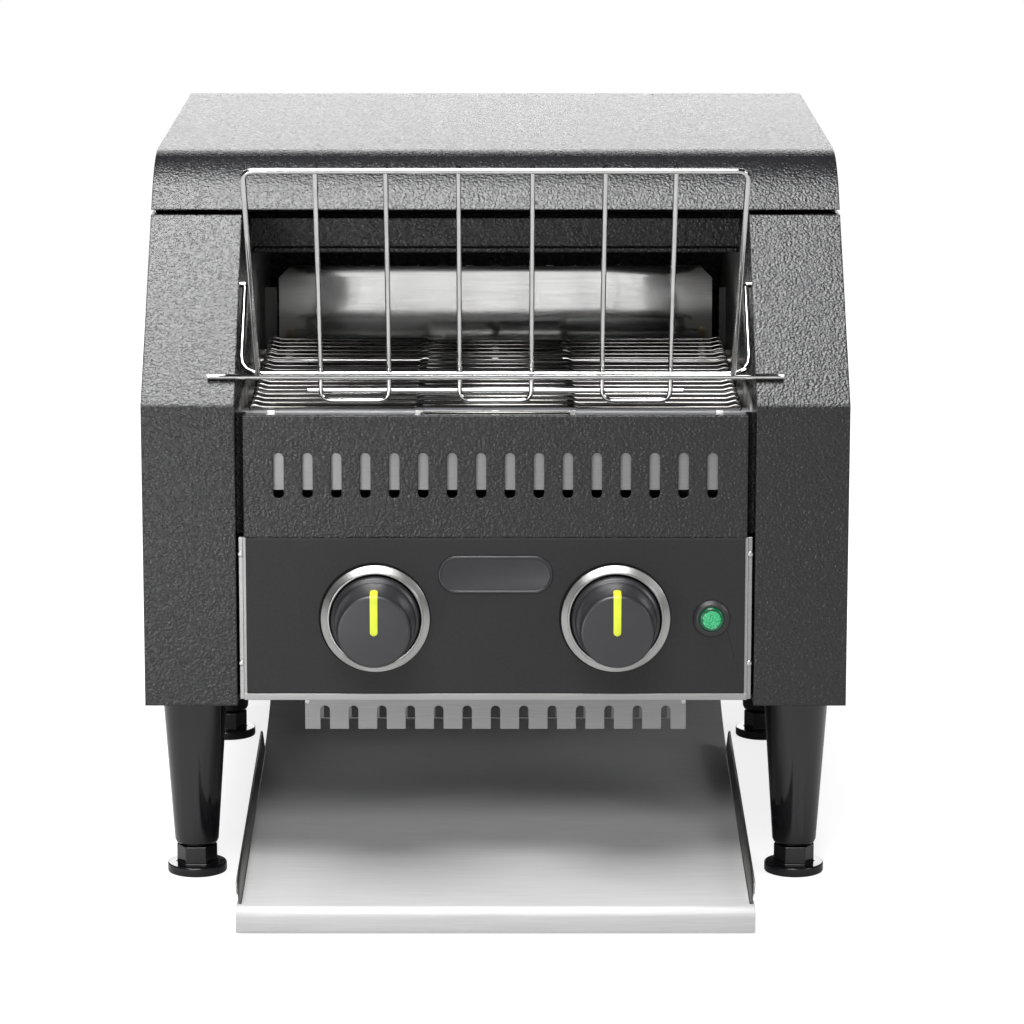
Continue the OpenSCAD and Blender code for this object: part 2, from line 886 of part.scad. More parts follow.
chute_gap = 10.2;
chute_w = mouth_w - 2 * chute_gap;
chute_top_out = 43;
chute_top_z = 293.7;
chute_mid_out = 40.9;
chute_mid_z = 267;
chute_bend_out = 40;
chute_bend_z = 200;
chute_chamfer = 7;
chute_foot = 10;
chute_tab_z = 205;
chute_tab_h = 40;

// Profile of the plate behind the belt, t behind its front face
function chute_points(t) = [
    [fy(rear_shaft_d + chute_top_out + t), chute_top_z],
    [fy(rear_shaft_d + chute_mid_out + t), chute_mid_z],
    [fy(rear_shaft_d + chute_bend_out + t), chute_bend_z],
    [fy(drop_d1 + t), floor_z]
];

module rear_deflector() {
    half = chute_w / 2;
    behind = chute_points(steel_t);
    tab_d = rear_shaft_d + chute_bend_out;
    color("gainsboro") difference() {
        union() {
            side_extrude(-half, half)
                polygon(concat(chute_points(0), [for (i = [len(behind) - 1:-1:0]) behind[i]]));
            block(-half, half, drop_d1, drop_d1 + chute_foot, floor_z, floor_z + steel_t);
            both_sides()
                block(half - steel_t, wall_x, tab_d, tab_d + steel_t,
                    chute_tab_z, chute_tab_z + chute_tab_h);
        }
        both_sides()
            front_extrude(rear_shaft_d + chute_mid_out / 2, drop_d1)
                polygon([
                    [half - chute_chamfer, chute_top_z + 1],
                    [half + 1, chute_top_z - chute_chamfer],
                    [half + 1, chute_top_z + 1]
                ]);
    }
}

// ---- Belt and drive ----

link_w = 3;
link_t = 1.2;

module belt_loop(grow) {
    r = belt_r + grow;
    translate([fy(front_shaft_d), shaft_z]) circle(r = r);
    translate([fy(rear_shaft_d), shaft_z]) circle(r = r);
    translate([fy(front_shaft_d), shaft_z - r]) square([rear_shaft_d - front_shaft_d, 2 * r]);
}

module belt_rod(depth, z) {
    x_rod(-belt_w / 2, belt_w / 2, depth, z, belt_wire / 2);
}

module conveyor_belt() {
    half = belt_w / 2;
    step = 360 / belt_teeth;
    color("gray") {
        for (i = [0:belt_steps - 1], s = [-1, 1])
            belt_rod(front_shaft_d + (i + 0.5) * belt_pitch, shaft_z + s * belt_r);
        for (i = [0:belt_teeth / 2 - 1]) {
            a = 90 - (i + 0.5) * step;
            belt_rod(rear_shaft_d + belt_r * cos(a), shaft_z + belt_r * sin(a));
            belt_rod(front_shaft_d - belt_r * cos(a), shaft_z + belt_r * sin(a));
        }
        for (x = [-half, -belt_joint_x - link_w / 2, belt_joint_x - link_w / 2, half - link_w])
            side_extrude(x, x + link_w) difference() {
                belt_loop(link_t / 2);
                belt_loop(-link_t / 2);
            }
    }
}

sprocket_t = 4;
belt_root_r = 8.2;
belt_tooth_w = 4;
shaft_r = shaft_dia / 2;
shaft_over = 9;
shaft_half_l = wall_x + steel_t + shaft_over;
sprocket_side = 6;
drive_end_x = chain_x + sprocket_side;

module belt_sprockets(depth) {
    color("darkgray") for (x = sprocket_xs)
        side_extrude(x - sprocket_t / 2, x + sprocket_t / 2)
            translate([fy(depth), shaft_z])
                toothed_disc(belt_teeth, belt_root_r, belt_tip_r, belt_tooth_w, shaft_r);
}

module toothed_disc(teeth, root_r, tip_r, tooth_w, bore_r) {
    difference() {
        union() {
            circle(r = root_r);
            for (i = [0:teeth - 1])
                rotate(i * 360 / teeth)
                    polygon([
                        [0, -tooth_w / 2],
                        [0, tooth_w / 2],
                        [tip_r, tooth_w / 4],
                        [tip_r, -tooth_w / 4]
                    ]);
        }
        circle(r = bore_r);
    }
}

module front_shaft() {
    color("silver") x_rod(-shaft_half_l, shaft_half_l, front_shaft_d, shaft_z, shaft_r);
}

module rear_shaft() {
    color("silver") x_rod(-shaft_half_l, drive_end_x, rear_shaft_d, shaft_z, shaft_r);
}

module front_sprockets() {
    belt_sprockets(front_shaft_d);
}

module rear_sprockets() {
    belt_sprockets(rear_shaft_d);
}

bushing_flange_r = 9;
bushing_flange_t = 2;
bushing_in = 3;

module shaft_bushings() {
    x0 = wall_x - bushing_in;
    x1 = wall_x + steel_t;
    x2 = x1 + bushing_flange_t;
    color("goldenrod") both_sides()
        for (d = [front_shaft_d, rear_shaft_d])
            difference() {
                union() {
                    x_rod(x0, x1, d, shaft_z, bushing_r);
                    x_rod(x1, x2, d, shaft_z, bushing_flange_r);
                }
                x_rod(x0 - 1, x2 + 1, d, shaft_z, shaft_r + run_gap);
            }
}

drive_t = 2.4;
drive_hub_r = 7;
drive_rim = 2;
drive_tooth_w = 3;

module chain_sprocket(depth, z, pitch_r, teeth, bore_r) {
    tip_r = pitch_r - roller_r - chain_clear;
    side_extrude(chain_x - drive_t / 2, chain_x + drive_t / 2)
        translate([fy(depth), z])
            toothed_disc(teeth, tip_r - drive_rim, tip_r, drive_tooth_w, bore_r);
    difference() {
        x_rod(chain_x - sprocket_side, chain_x - drive_t / 2, depth, z, drive_hub_r);
        x_rod(chain_x - sprocket_side - 1, chain_x, depth, z, bore_r);
    }
}

module drive_sprocket() {
    color("dimgray") chain_sprocket(rear_shaft_d, shaft_z, drive_r, drive_teeth, shaft_r);
}

motor_shaft_r = 4;
motor_body_r = 29;
motor_body_l = 42;
gearbox_half = 30;
gearbox_w = 33;
gearbox_x0 = wall_x - gearbox_w;
motor_x0 = gearbox_x0 - motor_body_l;
motor_nose = 4;
gearbox_wall = 13;
motor_bore_l = gearbox_w - gearbox_wall;
motor_shaft_end = 1;
hub_lap = 0.5;

module motor_sprocket() {
    color("dimgray") {
        chain_sprocket(motor_d, motor_z, motor_r, motor_teeth, motor_shaft_r - hub_lap);
        x_rod(wall_x - motor_bore_l + motor_shaft_end, drive_end_x,
            motor_d, motor_z, motor_shaft_r);
    }
}

module gear_motor() {
    color("slategray") difference() {
        union() {
            x_rod(motor_x0, gearbox_x0, motor_d, motor_z, motor_body_r);
            block(gearbox_x0, wall_x, motor_d - gearbox_half, motor_d + gearbox_half,
                motor_z - gearbox_half, motor_z + gearbox_half);
            x_rod(wall_x, wall_x + motor_nose, motor_d, motor_z, motor_hole_r - gap);
        }
        x_rod(wall_x - motor_bore_l, wall_x + motor_nose + 1,
            motor_d, motor_z, motor_shaft_r + run_gap);
    }
}

motor_c = [fy(motor_d), motor_z];
drive_c = [fy(rear_shaft_d), shaft_z];
chain_span = norm(drive_c - motor_c);
chain_dir = atan2(drive_c[1] - motor_c[1], drive_c[0] - motor_c[0]);
chain_beta = acos((motor_r - drive_r) / chain_span);
chain_run = sqrt(pow(chain_span, 2) - pow(drive_r - motor_r, 2));
chain_arc_m = motor_r * (360 - 2 * chain_beta) * PI / 180;
chain_arc_d = drive_r * 2 * chain_beta * PI / 180;
chain_l = 2 * chain_run + chain_arc_m + chain_arc_d;
chain_links = 2 * round(chain_l / chain_pitch / 2);

// Point of the chain at the distance s along it
function on_circle(c, r, a) = c + r * [cos(a), sin(a)];
chain_a0 = chain_dir - chain_beta;
chain_a1 = chain_dir + chain_beta;
chain_s1 = chain_arc_m + chain_run;
chain_s2 = chain_s1 + chain_arc_d;
function chain_point(s) =
    s < chain_arc_m ? on_circle(motor_c, motor_r, chain_a1 + s / motor_r * 180 / PI) :
    s < chain_s1 ? on_circle(motor_c, motor_r, chain_a0)
        + (s - chain_arc_m) * [cos(chain_a0 + 90), sin(chain_a0 + 90)] :
    s < chain_s2 ? on_circle(drive_c, drive_r, chain_a0 + (s - chain_s1) / drive_r * 180 / PI) :
        on_circle(drive_c, drive_r, chain_a1)
        + (s - chain_s2) * [cos(chain_a1 + 90), sin(chain_a1 + 90)];

module chain_outline(grow) {
    polygon(concat(
        arc(motor_c, motor_r + grow, chain_a1, chain_a0 + 360, 16),
        arc(drive_c, drive_r + grow, chain_a0, chain_a1, 16)
    ));
}

plate_reach = 2.6;

module drive_chain() {
    color("dimgray") {
        for (s = [-1, 1])
            translate([s * (chain_w + chain_plate_t) / 2, 0, 0])
                side_extrude(chain_x - chain_plate_t / 2, chain_x + chain_plate_t / 2) difference() {
                    chain_outline(plate_reach);
                    chain_outline(-plate_reach);
                }
        for (i = [0:chain_links - 1]) {
            p = chain_point((i + 0.5) * chain_l / chain_links);
            translate([chain_x - chain_w / 2 - chain_plate_t, p[0], p[1]])
                rotate([0, 90, 0])
                    cylinder(h = chain_w + 2 * chain_plate_t, r = roller_r, $fn = 16);
        }
    }
}

// ---- Electrics ----

fan_bore_r = 37.5;
fan_post_r = 5;
fan_hub_r = 15;
fan_blade_r = 35.5;
fan_blades = 7;
fan_strut = 4;
fan_strut_h = 3;
fan_post_z = 4;
fan_hub_z = 2;
fan_blade_l = 16;
fan_blade_t = 1.5;
fan_blade_deg = 40;

module fan_frame() {
    color("#222222") translate([fan_x, fy(fan_d), floor_z]) {
        difference() {
            translate([-fan_size / 2, -fan_size / 2, 0]) cube([fan_size, fan_size, fan_h]);
            translate([0, 0, -1]) cylinder(h = fan_h + 2, r = fan_bore_r);
        }
        for (a = [45, 135])
            rotate(a)
                translate([-fan_bore_r - 1, -fan_strut / 2, fan_h - fan_strut_h])
                    cube([2 * fan_bore_r + 2, fan_strut, fan_strut_h]);
        translate([0, 0, fan_post_z]) cylinder(h = fan_h - fan_post_z, r = fan_post_r);
    }
}

module fan_rotor() {
    color("#333333") translate([fan_x, fy(fan_d), floor_z]) difference() {
        union() {
            translate([0, 0, fan_hub_z])
                cylinder(h = fan_h - fan_strut_h - fan_hub_z - 1, r = fan_hub_r);
            for (i = [0:fan_blades - 1])
                rotate(i * 360 / fan_blades)
                    translate([fan_hub_r - 2, 0, fan_h / 2 - 1])
                        rotate([fan_blade_deg, 0, 0])
                            translate([0, -fan_blade_l / 2, -fan_blade_t / 2])
                                cube([fan_blade_r - fan_hub_r, fan_blade_l, fan_blade_t]);
        }
        translate([0, 0, fan_post_z - gap]) cylinder(h = fan_h, r = fan_post_r + run_gap);
    }
}

switch_half = 22;
switch_d1 = 46;
spindle_in = 10;
bushing_w = 0.1;
spindle_out = 20;

module rotary_switch() {
    color("#dddddd") difference() {
        union() {
            block(-knob_x - switch_half, -knob_x + switch_half, inner_face, switch_d1,
                knob_z - switch_half, knob_z + switch_half);
            y_rod(0, inner_face, -knob_x, knob_z, bushing_hole_r - bushing_w);
        }
        y_rod(-1, spindle_in + 1, -knob_x, knob_z, spindle_r + run_gap);
    }
}

pot_r = 12;
pot_l = 20;

module speed_potentiometer() {
    color("#8899aa") difference() {
        union() {
            y_rod(inner_face, inner_face + pot_l, knob_x, knob_z, pot_r);
            y_rod(0, inner_face, knob_x, knob_z, bushing_hole_r - bushing_w);
        }
        y_rod(-1, spindle_in + 1, knob_x, knob_z, spindle_r + run_gap);
    }
}

module spindle(x) {
    color("silver") y_rod(-spindle_out, spindle_in, x, knob_z, spindle_r);
}

module switch_spindle() {
    spindle(-knob_x);
}

module speed_spindle() {
    spindle(knob_x);
}

board_d = 70;
board_w = 100;
board_l = 90;
board_t = 1.6;
post_h = 8;
post_r = 2.5;
post_in = 4;
board_z = floor_z + post_h;
capacitor_x = 25;
capacitor_y = 65;
capacitor_r = 8;
capacitor_h = 18;
transformer_in = 10;
transformer_w = 35;
transformer_l = 30;
transformer_h = 24.4;
relay_x = 55;
relay_y = 15;
relay_w = 35;
relay_l = 10;
relay_h = 18.4;
driver_x = 60;
driver_y = 55;
driver_w = 25;
driver_l = 20;
driver_h = 12.4;

module control_board() {
    color("darkgreen") translate([0, fy(board_d), board_z]) {
        cube([board_w, board_l, board_t]);
        for (x = [post_in, board_w - post_in], y = [post_in, board_l - post_in])
            translate([x, y, -post_h]) cylinder(h = post_h, r = post_r);
        translate([transformer_in, transformer_in, board_t])
            cube([transformer_w, transformer_l, transformer_h]);
        translate([relay_x, relay_y, board_t]) cube([relay_w, relay_l, relay_h]);
        translate([driver_x, driver_y, board_t]) cube([driver_w, driver_l, driver_h]);
        translate([capacitor_x, capacitor_y, board_t]) cylinder(h = capacitor_h, r = capacitor_r);
    }
}

terminal_w = 2 * (side_mid_x - wall_x - wall_flange - gap);
terminal_l = 44;
terminal_h = 18;
terminal_pitch = 14;
terminal_d = body_d - 40;
terminal_hole_r = 3;
terminal_hole_l = 12;

module terminal_block() {
    color("white") translate([-side_mid_x, fy(terminal_d), floor_z]) difference() {
        translate([-terminal_w / 2, -terminal_l / 2, 0]) cube([terminal_w, terminal_l, terminal_h]);
        for (i = [-1:1])
            translate([0, i * terminal_pitch, terminal_h - terminal_hole_l])
                cylinder(h = terminal_h, r = terminal_hole_r);
    }
}

thermostat_d = 255;
thermostat_z = 290;
thermostat_r = 12;
thermostat_h = 10;
thermostat_cap_r = 7;
thermostat_cap_h = 4;

module safety_thermostat() {
    x = -wall_x - steel_t;
    color("ivory") {
        x_rod(x - thermostat_h, x, thermostat_d, thermostat_z, thermostat_r);
        x_rod(x - thermostat_h - thermostat_cap_h, x - thermostat_h,
            thermostat_d, thermostat_z, thermostat_cap_r);
    }
}

bezel_out = 2.2;
lens_out = 3.6;
lens_seat = 0.6;
lens_gap = 0.1;
lamp_l = 22;

module indicator_bezel() {
    color("#1a1a1a") difference() {
        union() {
            y_rod(-bezel_out, 0, lamp_x, knob_z, lamp_d / 2);
            y_rod(0, lamp_l, lamp_x, knob_z, lamp_barrel_r - bushing_w);
        }
        y_rod(-bezel_out - 1, -lens_seat, lamp_x, knob_z, lens_d / 2);
    }
}

module indicator_lens() {
    color("green") y_rod(-lens_out, -lens_seat, lamp_x, knob_z, lens_d / 2 - lens_gap);
}

gland_flange_r = 12;
gland_flange_t = 4;
gland_cap_r = 9;
gland_nut_r = 11;
gland_nut_t = 5;
gland_in_l = 8;
gland_bore_r = 4.2;

module cable_gland() {
    color("#1a1a1a") translate([gland_x, fy(body_d), gland_z]) rotate([-90, 0, 0]) difference() {
        union() {
            cylinder(h = gland_flange_t, r = gland_flange_r, $fn = 6);
            cylinder(h = gland_out, r = gland_cap_r);
            translate([0, 0, -gland_in_l]) cylinder(h = gland_in_l + 1, r = gland_r - bushing_w);
            translate([0, 0, -case_t - gland_nut_t])
                cylinder(h = gland_nut_t, r = gland_nut_r, $fn = 6);
        }
        translate([0, 0, -gland_in_l - 1])
            cylinder(h = gland_in_l + gland_out + 2, r = gland_bore_r);
    }
}

// ---- Controls ----

module dial_ring(x) {
    color("silver") translate([x, fy(0), knob_z]) rotate([90, 0, 0])
        rotate_extrude($fn = 96)
            polygon([
                [ring_bore / 2, 0],
                [ring_d / 2, 0],
                [ring_d / 2, ring_h * 0.3],
                [ring_bore / 2 + 0.8, ring_h],
                [ring_bore / 2, ring_h]
            ]);
}

module left_dial_ring() {
    dial_ring(-knob_x);
}

module right_dial_ring() {
    dial_ring(knob_x);
}

knob_gap = 0.8;
knob_skirt = 7;
knob_edge = 1.5;
pointer_low = -2;
pointer_side = 8;

function knob_outline(cut) = [
    [0, knob_gap],
    [knob_d / 2 - cut, knob_gap],
    [knob_d / 2 - cut, knob_skirt],
    [knob_d / 2 - knob_edge - cut, knob_skirt + knob_edge],
    [knob_face_d / 2 + knob_edge - cut, knob_out - knob_edge * 2],
    [knob_face_d / 2 - cut, knob_out - cut],
    [0, knob_out - cut]
];

module knob_at(x) {
    translate([x, fy(0), knob_z]) rotate([90, 0, 0]) children();
}

module knob(x) {
    color("#2b2b2d") difference() {
        knob_at(x) rotate_extrude($fn = 96) polygon(knob_outline(0));
        y_rod(-spindle_out, 0, x, knob_z, spindle_r);
        knob_at(x) pointer_zone();
    }
}

inlay_t = 0.6;

module pointer_zone() {
    difference() {
        translate([-pointer_w / 2, pointer_low, knob_out - pointer_side])
            cube([pointer_w, knob_d, pointer_side + 1]);
        rotate_extrude($fn = 96) polygon(knob_outline(inlay_t));
    }
}

module pointer(x) {
    color("yellow") knob_at(x) intersection() {
        rotate_extrude($fn = 96) polygon(knob_outline(0));
        pointer_zone();
    }
}

module left_knob() {
    knob(-knob_x);
}

module right_knob() {
    knob(knob_x);
}

module left_pointer() {
    pointer(-knob_x);
}

module right_pointer() {
    pointer(knob_x);
}

// ---- Rack ----

rack_top_corner = 5.5;
rack_low_corner = 12;
weld = 0.3;
bar_tilt = 16;
bar_gap = 0.1;
bar_off = rack_rod + bar_gap;
bar_d = rest_rod_d + bar_off * cos(bar_tilt);
bar_z = rest_rod_z + bar_off * sin(bar_tilt);
hook_side = 1.5;
hook_x = cheek_x - rack_rod / 2 - hook_side;
hook_gap = 5;
hook_back = 38;
pin_reach = 3;
grid_xs = [18.7, 55.5, 91.1];
grid_drop = 16;
grid_turn = 6;
grid_over = 1.2;
grid_off = (rack_rod + rack_wire) / 2 - weld;
cross_rod_l = 196;
cross_rod_up = 5;

// Point of the rack's plane, u down from the top bar and v behind that plane
rack_l = norm([rest_rod_d + rack_top_out, rack_top_z - rest_rod_z]);
rack_back = [0, cos(rack_lean), sin(rack_lean)];
function rack_point(x, u, v) =
    [x, fy(-rack_top_out), rack_top_z] + u * [0, sin(rack_lean), -cos(rack_lean)] + v * rack_back;

module rack_frame() {
    color("silver") {
        frame_loop();
        hook_wire();
        x_rod(-rest_rod_l / 2, rest_rod_l / 2, rest_rod_d, rest_rod_z, rack_rod / 2);
        both_sides() x_rod(hook_x, wall_x + pin_reach, pivot_d, pivot_z, pin_r);
        translate(grid_bend(0) + [0, grid_off, -grid_drop + cross_rod_up])
            rotate([0, 90, 0])
                cylinder(h = cross_rod_l, r = rack_rod / 2, center = true);
    }
}

module frame_loop() {
    top_x = (rack_top_w - rack_rod) / 2;
    low_x = (rack_low_w - rack_rod) / 2;
    low = rack_l - rack_rod / 2 + weld;
    wire(rounded([
        rack_point(-low_x, low, 0),
        rack_point(-top_x, 0, 0),
        rack_point(top_x, 0, 0),
        rack_point(low_x, low, 0)
    ], [rack_top_corner, rack_top_corner]), rack_rod, rack_back);
}

// Bottom bar whose ends turn up along the cheeks and fold back at the pivot pins
module hook_wire() {
    low = [hook_x, fy(bar_d), bar_z];
    top = [hook_x, fy(pivot_d), pivot_z];
    up = unit(top - low);
    fold = hook_gap * [0, up[2], -up[1]];
    half = [low, top, top + fold, top + fold - hook_back * up];
    tight = hook_gap / 2;
    function other(p) = [-p[0], p[1], p[2]];
    wire(rounded([
        other(half[3]), other(half[2]), other(half[1]), other(half[0]),
        half[0], half[1], half[2], half[3]
    ], [tight, tight, rack_low_corner, rack_low_corner, tight, tight]), rack_rod, [1, 0, 0]);
}

module rack_grid() {
    color("silver") {
        grid_wire(-grid_xs[0], grid_xs[0]);
        both_sides() grid_wire(grid_xs[1], grid_xs[2]);
    }
}

module grid_wire(x0, x1) {
    wire(rounded([
        grid_top(x0), grid_bend(x0), grid_foot(x0), grid_foot(x1), grid_bend(x1), grid_top(x1)
    ], [grid_turn, grid_turn, grid_turn, grid_turn]), rack_wire, rack_back);
}

function grid_top(x) = rack_point(x, -grid_over, grid_off);
function grid_bend(x) = rack_point(x, rack_l, bar_off + grid_off);
function grid_foot(x) = grid_bend(x) - [0, 0, grid_drop];

// ---- Legs and feet ----

leg_round = 2.5;
leg_nut_r = 7.5;
leg_nut_h = 6;
leg_bolt_l = 15;
stud_r = 4;
stud_bore_r = stud_r + run_gap;
stud_l = 34;
stud_spare = 5;

module leg_at(x, depth) {
    difference() {
        union() {
            translate([x, fy(depth), leg_low_z]) rotate_extrude($fn = 64)
                polygon([
                    [0, 0],
                    [leg_low_dia / 2 - leg_round, 0],
                    [leg_low_dia / 2 - leg_round * 0.3, leg_round * 0.35],
                    [leg_low_dia / 2, leg_round],
                    [leg_top_dia / 2, bottom_z - leg_low_z],
                    [0, bottom_z - leg_low_z]
                ]);
            translate([x, fy(depth), bottom_z - 1]) cylinder(h = leg_bolt_l + 1, r = leg_bolt_r);
            translate([x, fy(depth), floor_z]) cylinder(h = leg_nut_h, r = leg_nut_r, $fn = 6);
        }
        translate([x, fy(depth), leg_low_z - 1])
            cylinder(h = stud_l + stud_spare + 1, r = stud_bore_r);
    }
}

module legs() {
    color("#151515") for (x = [-leg_x, leg_x], d = [leg_front_d, leg_rear_d]) leg_at(x, d);
}

module foot(x, depth) {
    color("#151515") translate([x, fy(depth), 0]) {
        cylinder(h = pad_h, r = pad_dia / 2, $fn = 64);
        translate([0, 0, pad_h - 1])
            cylinder(h = leg_low_z - gap - pad_h + 1, r = hex_af / 2 / cos(30), $fn = 6);
        translate([0, 0, pad_h]) cylinder(h = leg_low_z - pad_h + stud_l, r = stud_r);
    }
}

module foot_front_left() {
    foot(-leg_x, leg_front_d);
}

module foot_front_right() {
    foot(leg_x, leg_front_d);
}

module foot_rear_left() {
    foot(-leg_x, leg_rear_d);
}

module foot_rear_right() {
    foot(leg_x, leg_rear_d);
}

// ---- Tray ----

tray_t = 1.2;
lip_r = 2.5;
lip_over = 1.8;
wall_d0 = 6;
ear_l = 36;
ear_w = 8;
runner_z = 89;
rail_l = 203;
rail_d0 = tray_end_d - rail_l;
rail_over = 4;
rail_side_gap = 1;
rail_low_x = tray_w / 2 + 1.7;
rail_x = tray_w / 2 + ear_w + rail_side_gap + tray_t;

curve_z = tray_front_z + (tray_curve_d + tray_out) * tan(tray_deg);
curve_end_deg = asin(sin(tray_deg) + (tray_end_d - tray_curve_d) / tray_curve_r);
curve_c = [fy(tray_curve_d) - tray_curve_r * sin(tray_deg), curve_z + tray_curve_r * cos(tray_deg)];

// Top face of the tray's floor, t further down
function tray_floor(t) = concat(
    arc([fy(-tray_out + lip_r), tray_front_z - lip_r], lip_r - t, 180, 90 + tray_deg, 5),
    arc(curve_c, tray_curve_r + t, tray_deg - 90, curve_end_deg - 90, 8)
);

module tray_sheet() {
    top = tray_floor(0);
    low = tray_floor(tray_t);
    polygon(concat(
        [[fy(-tray_out), tray_lip_z]],
        top,
        [for (i = [len(low) - 1:-1:0]) low[i]],
        [[fy(-tray_out) + tray_t, tray_lip_z]]
    ));
}

module tray_wall() {
    slope = tan(tray_deg);
    d0 = -tray_out + wall_d0;
    z0 = tray_front_z + wall_d0 * slope;
    z1 = curve_z;
    polygon([
        [fy(d0), z0 - tray_t],
        [fy(tray_curve_d), z1 - tray_t],
        [fy(tray_curve_d), z1 + tray_wall_h],
        [fy(d0 + 3), z0 + tray_wall_h],
        [fy(d0), z0 + tray_wall_h - 4]
    ]);
}

module toast_tray() {
    x = tray_w / 2;
    color("silver") {
        side_extrude(-x, x) tray_sheet();
        side_extrude(-x - lip_over, x + lip_over) intersection() {
            tray_sheet();
            before(-tray_out + wall_d0);
        }
        both_sides() {
            side_extrude(x - 0.2, x + tray_t) tray_wall();
            tray_ear();
        }
    }
}

// Side plate with an outward runner that hangs in the rail
module tray_ear() {
    x = tray_w / 2;
    d0 = tray_end_d - ear_l;
    d1 = tray_end_d - 2;
    low0 = curve_c[1] - sqrt(pow(tray_curve_r, 2) - pow(fy(d0) - curve_c[0], 2));
    low1 = curve_c[1] - sqrt(pow(tray_curve_r, 2) - pow(fy(d1) - curve_c[0], 2));
    side_extrude(x - tray_t, x) polygon([
        [fy(d0), low0 - tray_t / 2],
        [fy(d1), low1 - tray_t / 2],
        [fy(d1), runner_z],
        [fy(d0), runner_z]
    ]);
    block(x - tray_t, x + ear_w, d0, d1, runner_z - tray_t, runner_z);
}

module tray_rails() {
    foot_z = runner_z - tray_t - gap;
    d1 = tray_end_d + rail_over;
    color("silver") both_sides() {
        block(rail_low_x, rail_x, rail_d0, d1, foot_z - tray_t, foot_z);
        block(rail_x - tray_t, rail_x, rail_d0, d1, foot_z - tray_t, bottom_z);
        block(cheek_x + rail_side_gap, rail_x, rail_d0, d1, bottom_z - tray_t, bottom_z);
    }
}

top_cover();
left_housing();
right_housing();
left_inner_wall();
right_inner_wall();
base_plate();
rear_panel();
front_header();
slot_panel();
control_panel();
control_chassis();
heat_baffle();
badge_plate();
comb_guard();
comb_screws();
upper_reflector();
lower_reflector();
heat_shield();
rear_deflector();
conveyor_belt();
front_shaft();
front_sprockets();
rear_shaft();
rear_sprockets();
shaft_bushings();
drive_sprocket();
gear_motor();
motor_sprocket();
drive_chain();
upper_heaters();
lower_heaters();
heater_end_caps();
fan_frame();
fan_rotor();
rotary_switch();
switch_spindle();
speed_potentiometer();
speed_spindle();
control_board();
terminal_block();
safety_thermostat();
indicator_bezel();
indicator_lens();
cable_gland();
left_dial_ring();
right_dial_ring();
left_knob();
right_knob();
left_pointer();
right_pointer();
rack_frame();
rack_grid();
legs();
foot_front_left();
foot_front_right();
foot_rear_left();
foot_rear_right();
toast_tray();
tray_rails();
case_screws();
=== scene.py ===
import json
import math

import bmesh
import bpy
from mathutils import Matrix, Vector


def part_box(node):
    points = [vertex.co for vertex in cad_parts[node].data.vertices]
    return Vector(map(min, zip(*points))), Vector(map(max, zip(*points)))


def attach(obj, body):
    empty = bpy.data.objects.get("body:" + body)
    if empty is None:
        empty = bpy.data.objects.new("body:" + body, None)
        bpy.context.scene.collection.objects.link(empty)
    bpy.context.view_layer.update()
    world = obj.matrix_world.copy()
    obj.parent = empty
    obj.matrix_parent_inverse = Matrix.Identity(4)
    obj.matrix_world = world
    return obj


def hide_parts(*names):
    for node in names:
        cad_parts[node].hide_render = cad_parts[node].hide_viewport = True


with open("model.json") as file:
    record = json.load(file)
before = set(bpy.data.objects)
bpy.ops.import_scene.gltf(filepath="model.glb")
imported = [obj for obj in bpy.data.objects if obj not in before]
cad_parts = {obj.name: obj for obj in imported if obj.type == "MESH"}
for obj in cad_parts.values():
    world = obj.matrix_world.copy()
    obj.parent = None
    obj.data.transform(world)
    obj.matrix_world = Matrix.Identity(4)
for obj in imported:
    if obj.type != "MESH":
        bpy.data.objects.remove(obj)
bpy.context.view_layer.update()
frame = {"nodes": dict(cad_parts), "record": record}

MM = 0.001
BODY_OF = {
    node: body
    for body, nodes in frame["record"]["behaviour"]["bodies"].items()
    for node in nodes
}
SLOT_OF = {row["node"]: row["material_slot"] for row in frame["record"]["subparts"]}
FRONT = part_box("control_panel")[0].y
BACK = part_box("rear_panel")[1].y
OUT = Vector((0, -1, 0))
# Where the columns of a wide sheet stand, as shares of its half width.
ACROSS = (-1, -0.5, 0, 0.5, 1)


def place(x, depth, z):
    """A point from millimetres: across, behind the front face, above the table."""
    return Vector((x * MM, FRONT + depth * MM, z * MM))


def centre(node):
    low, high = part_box(node)
    return (low + high) / 2


def clamped(value):
    return max(0.0, min(1.0, value))


# ---- Materials ----

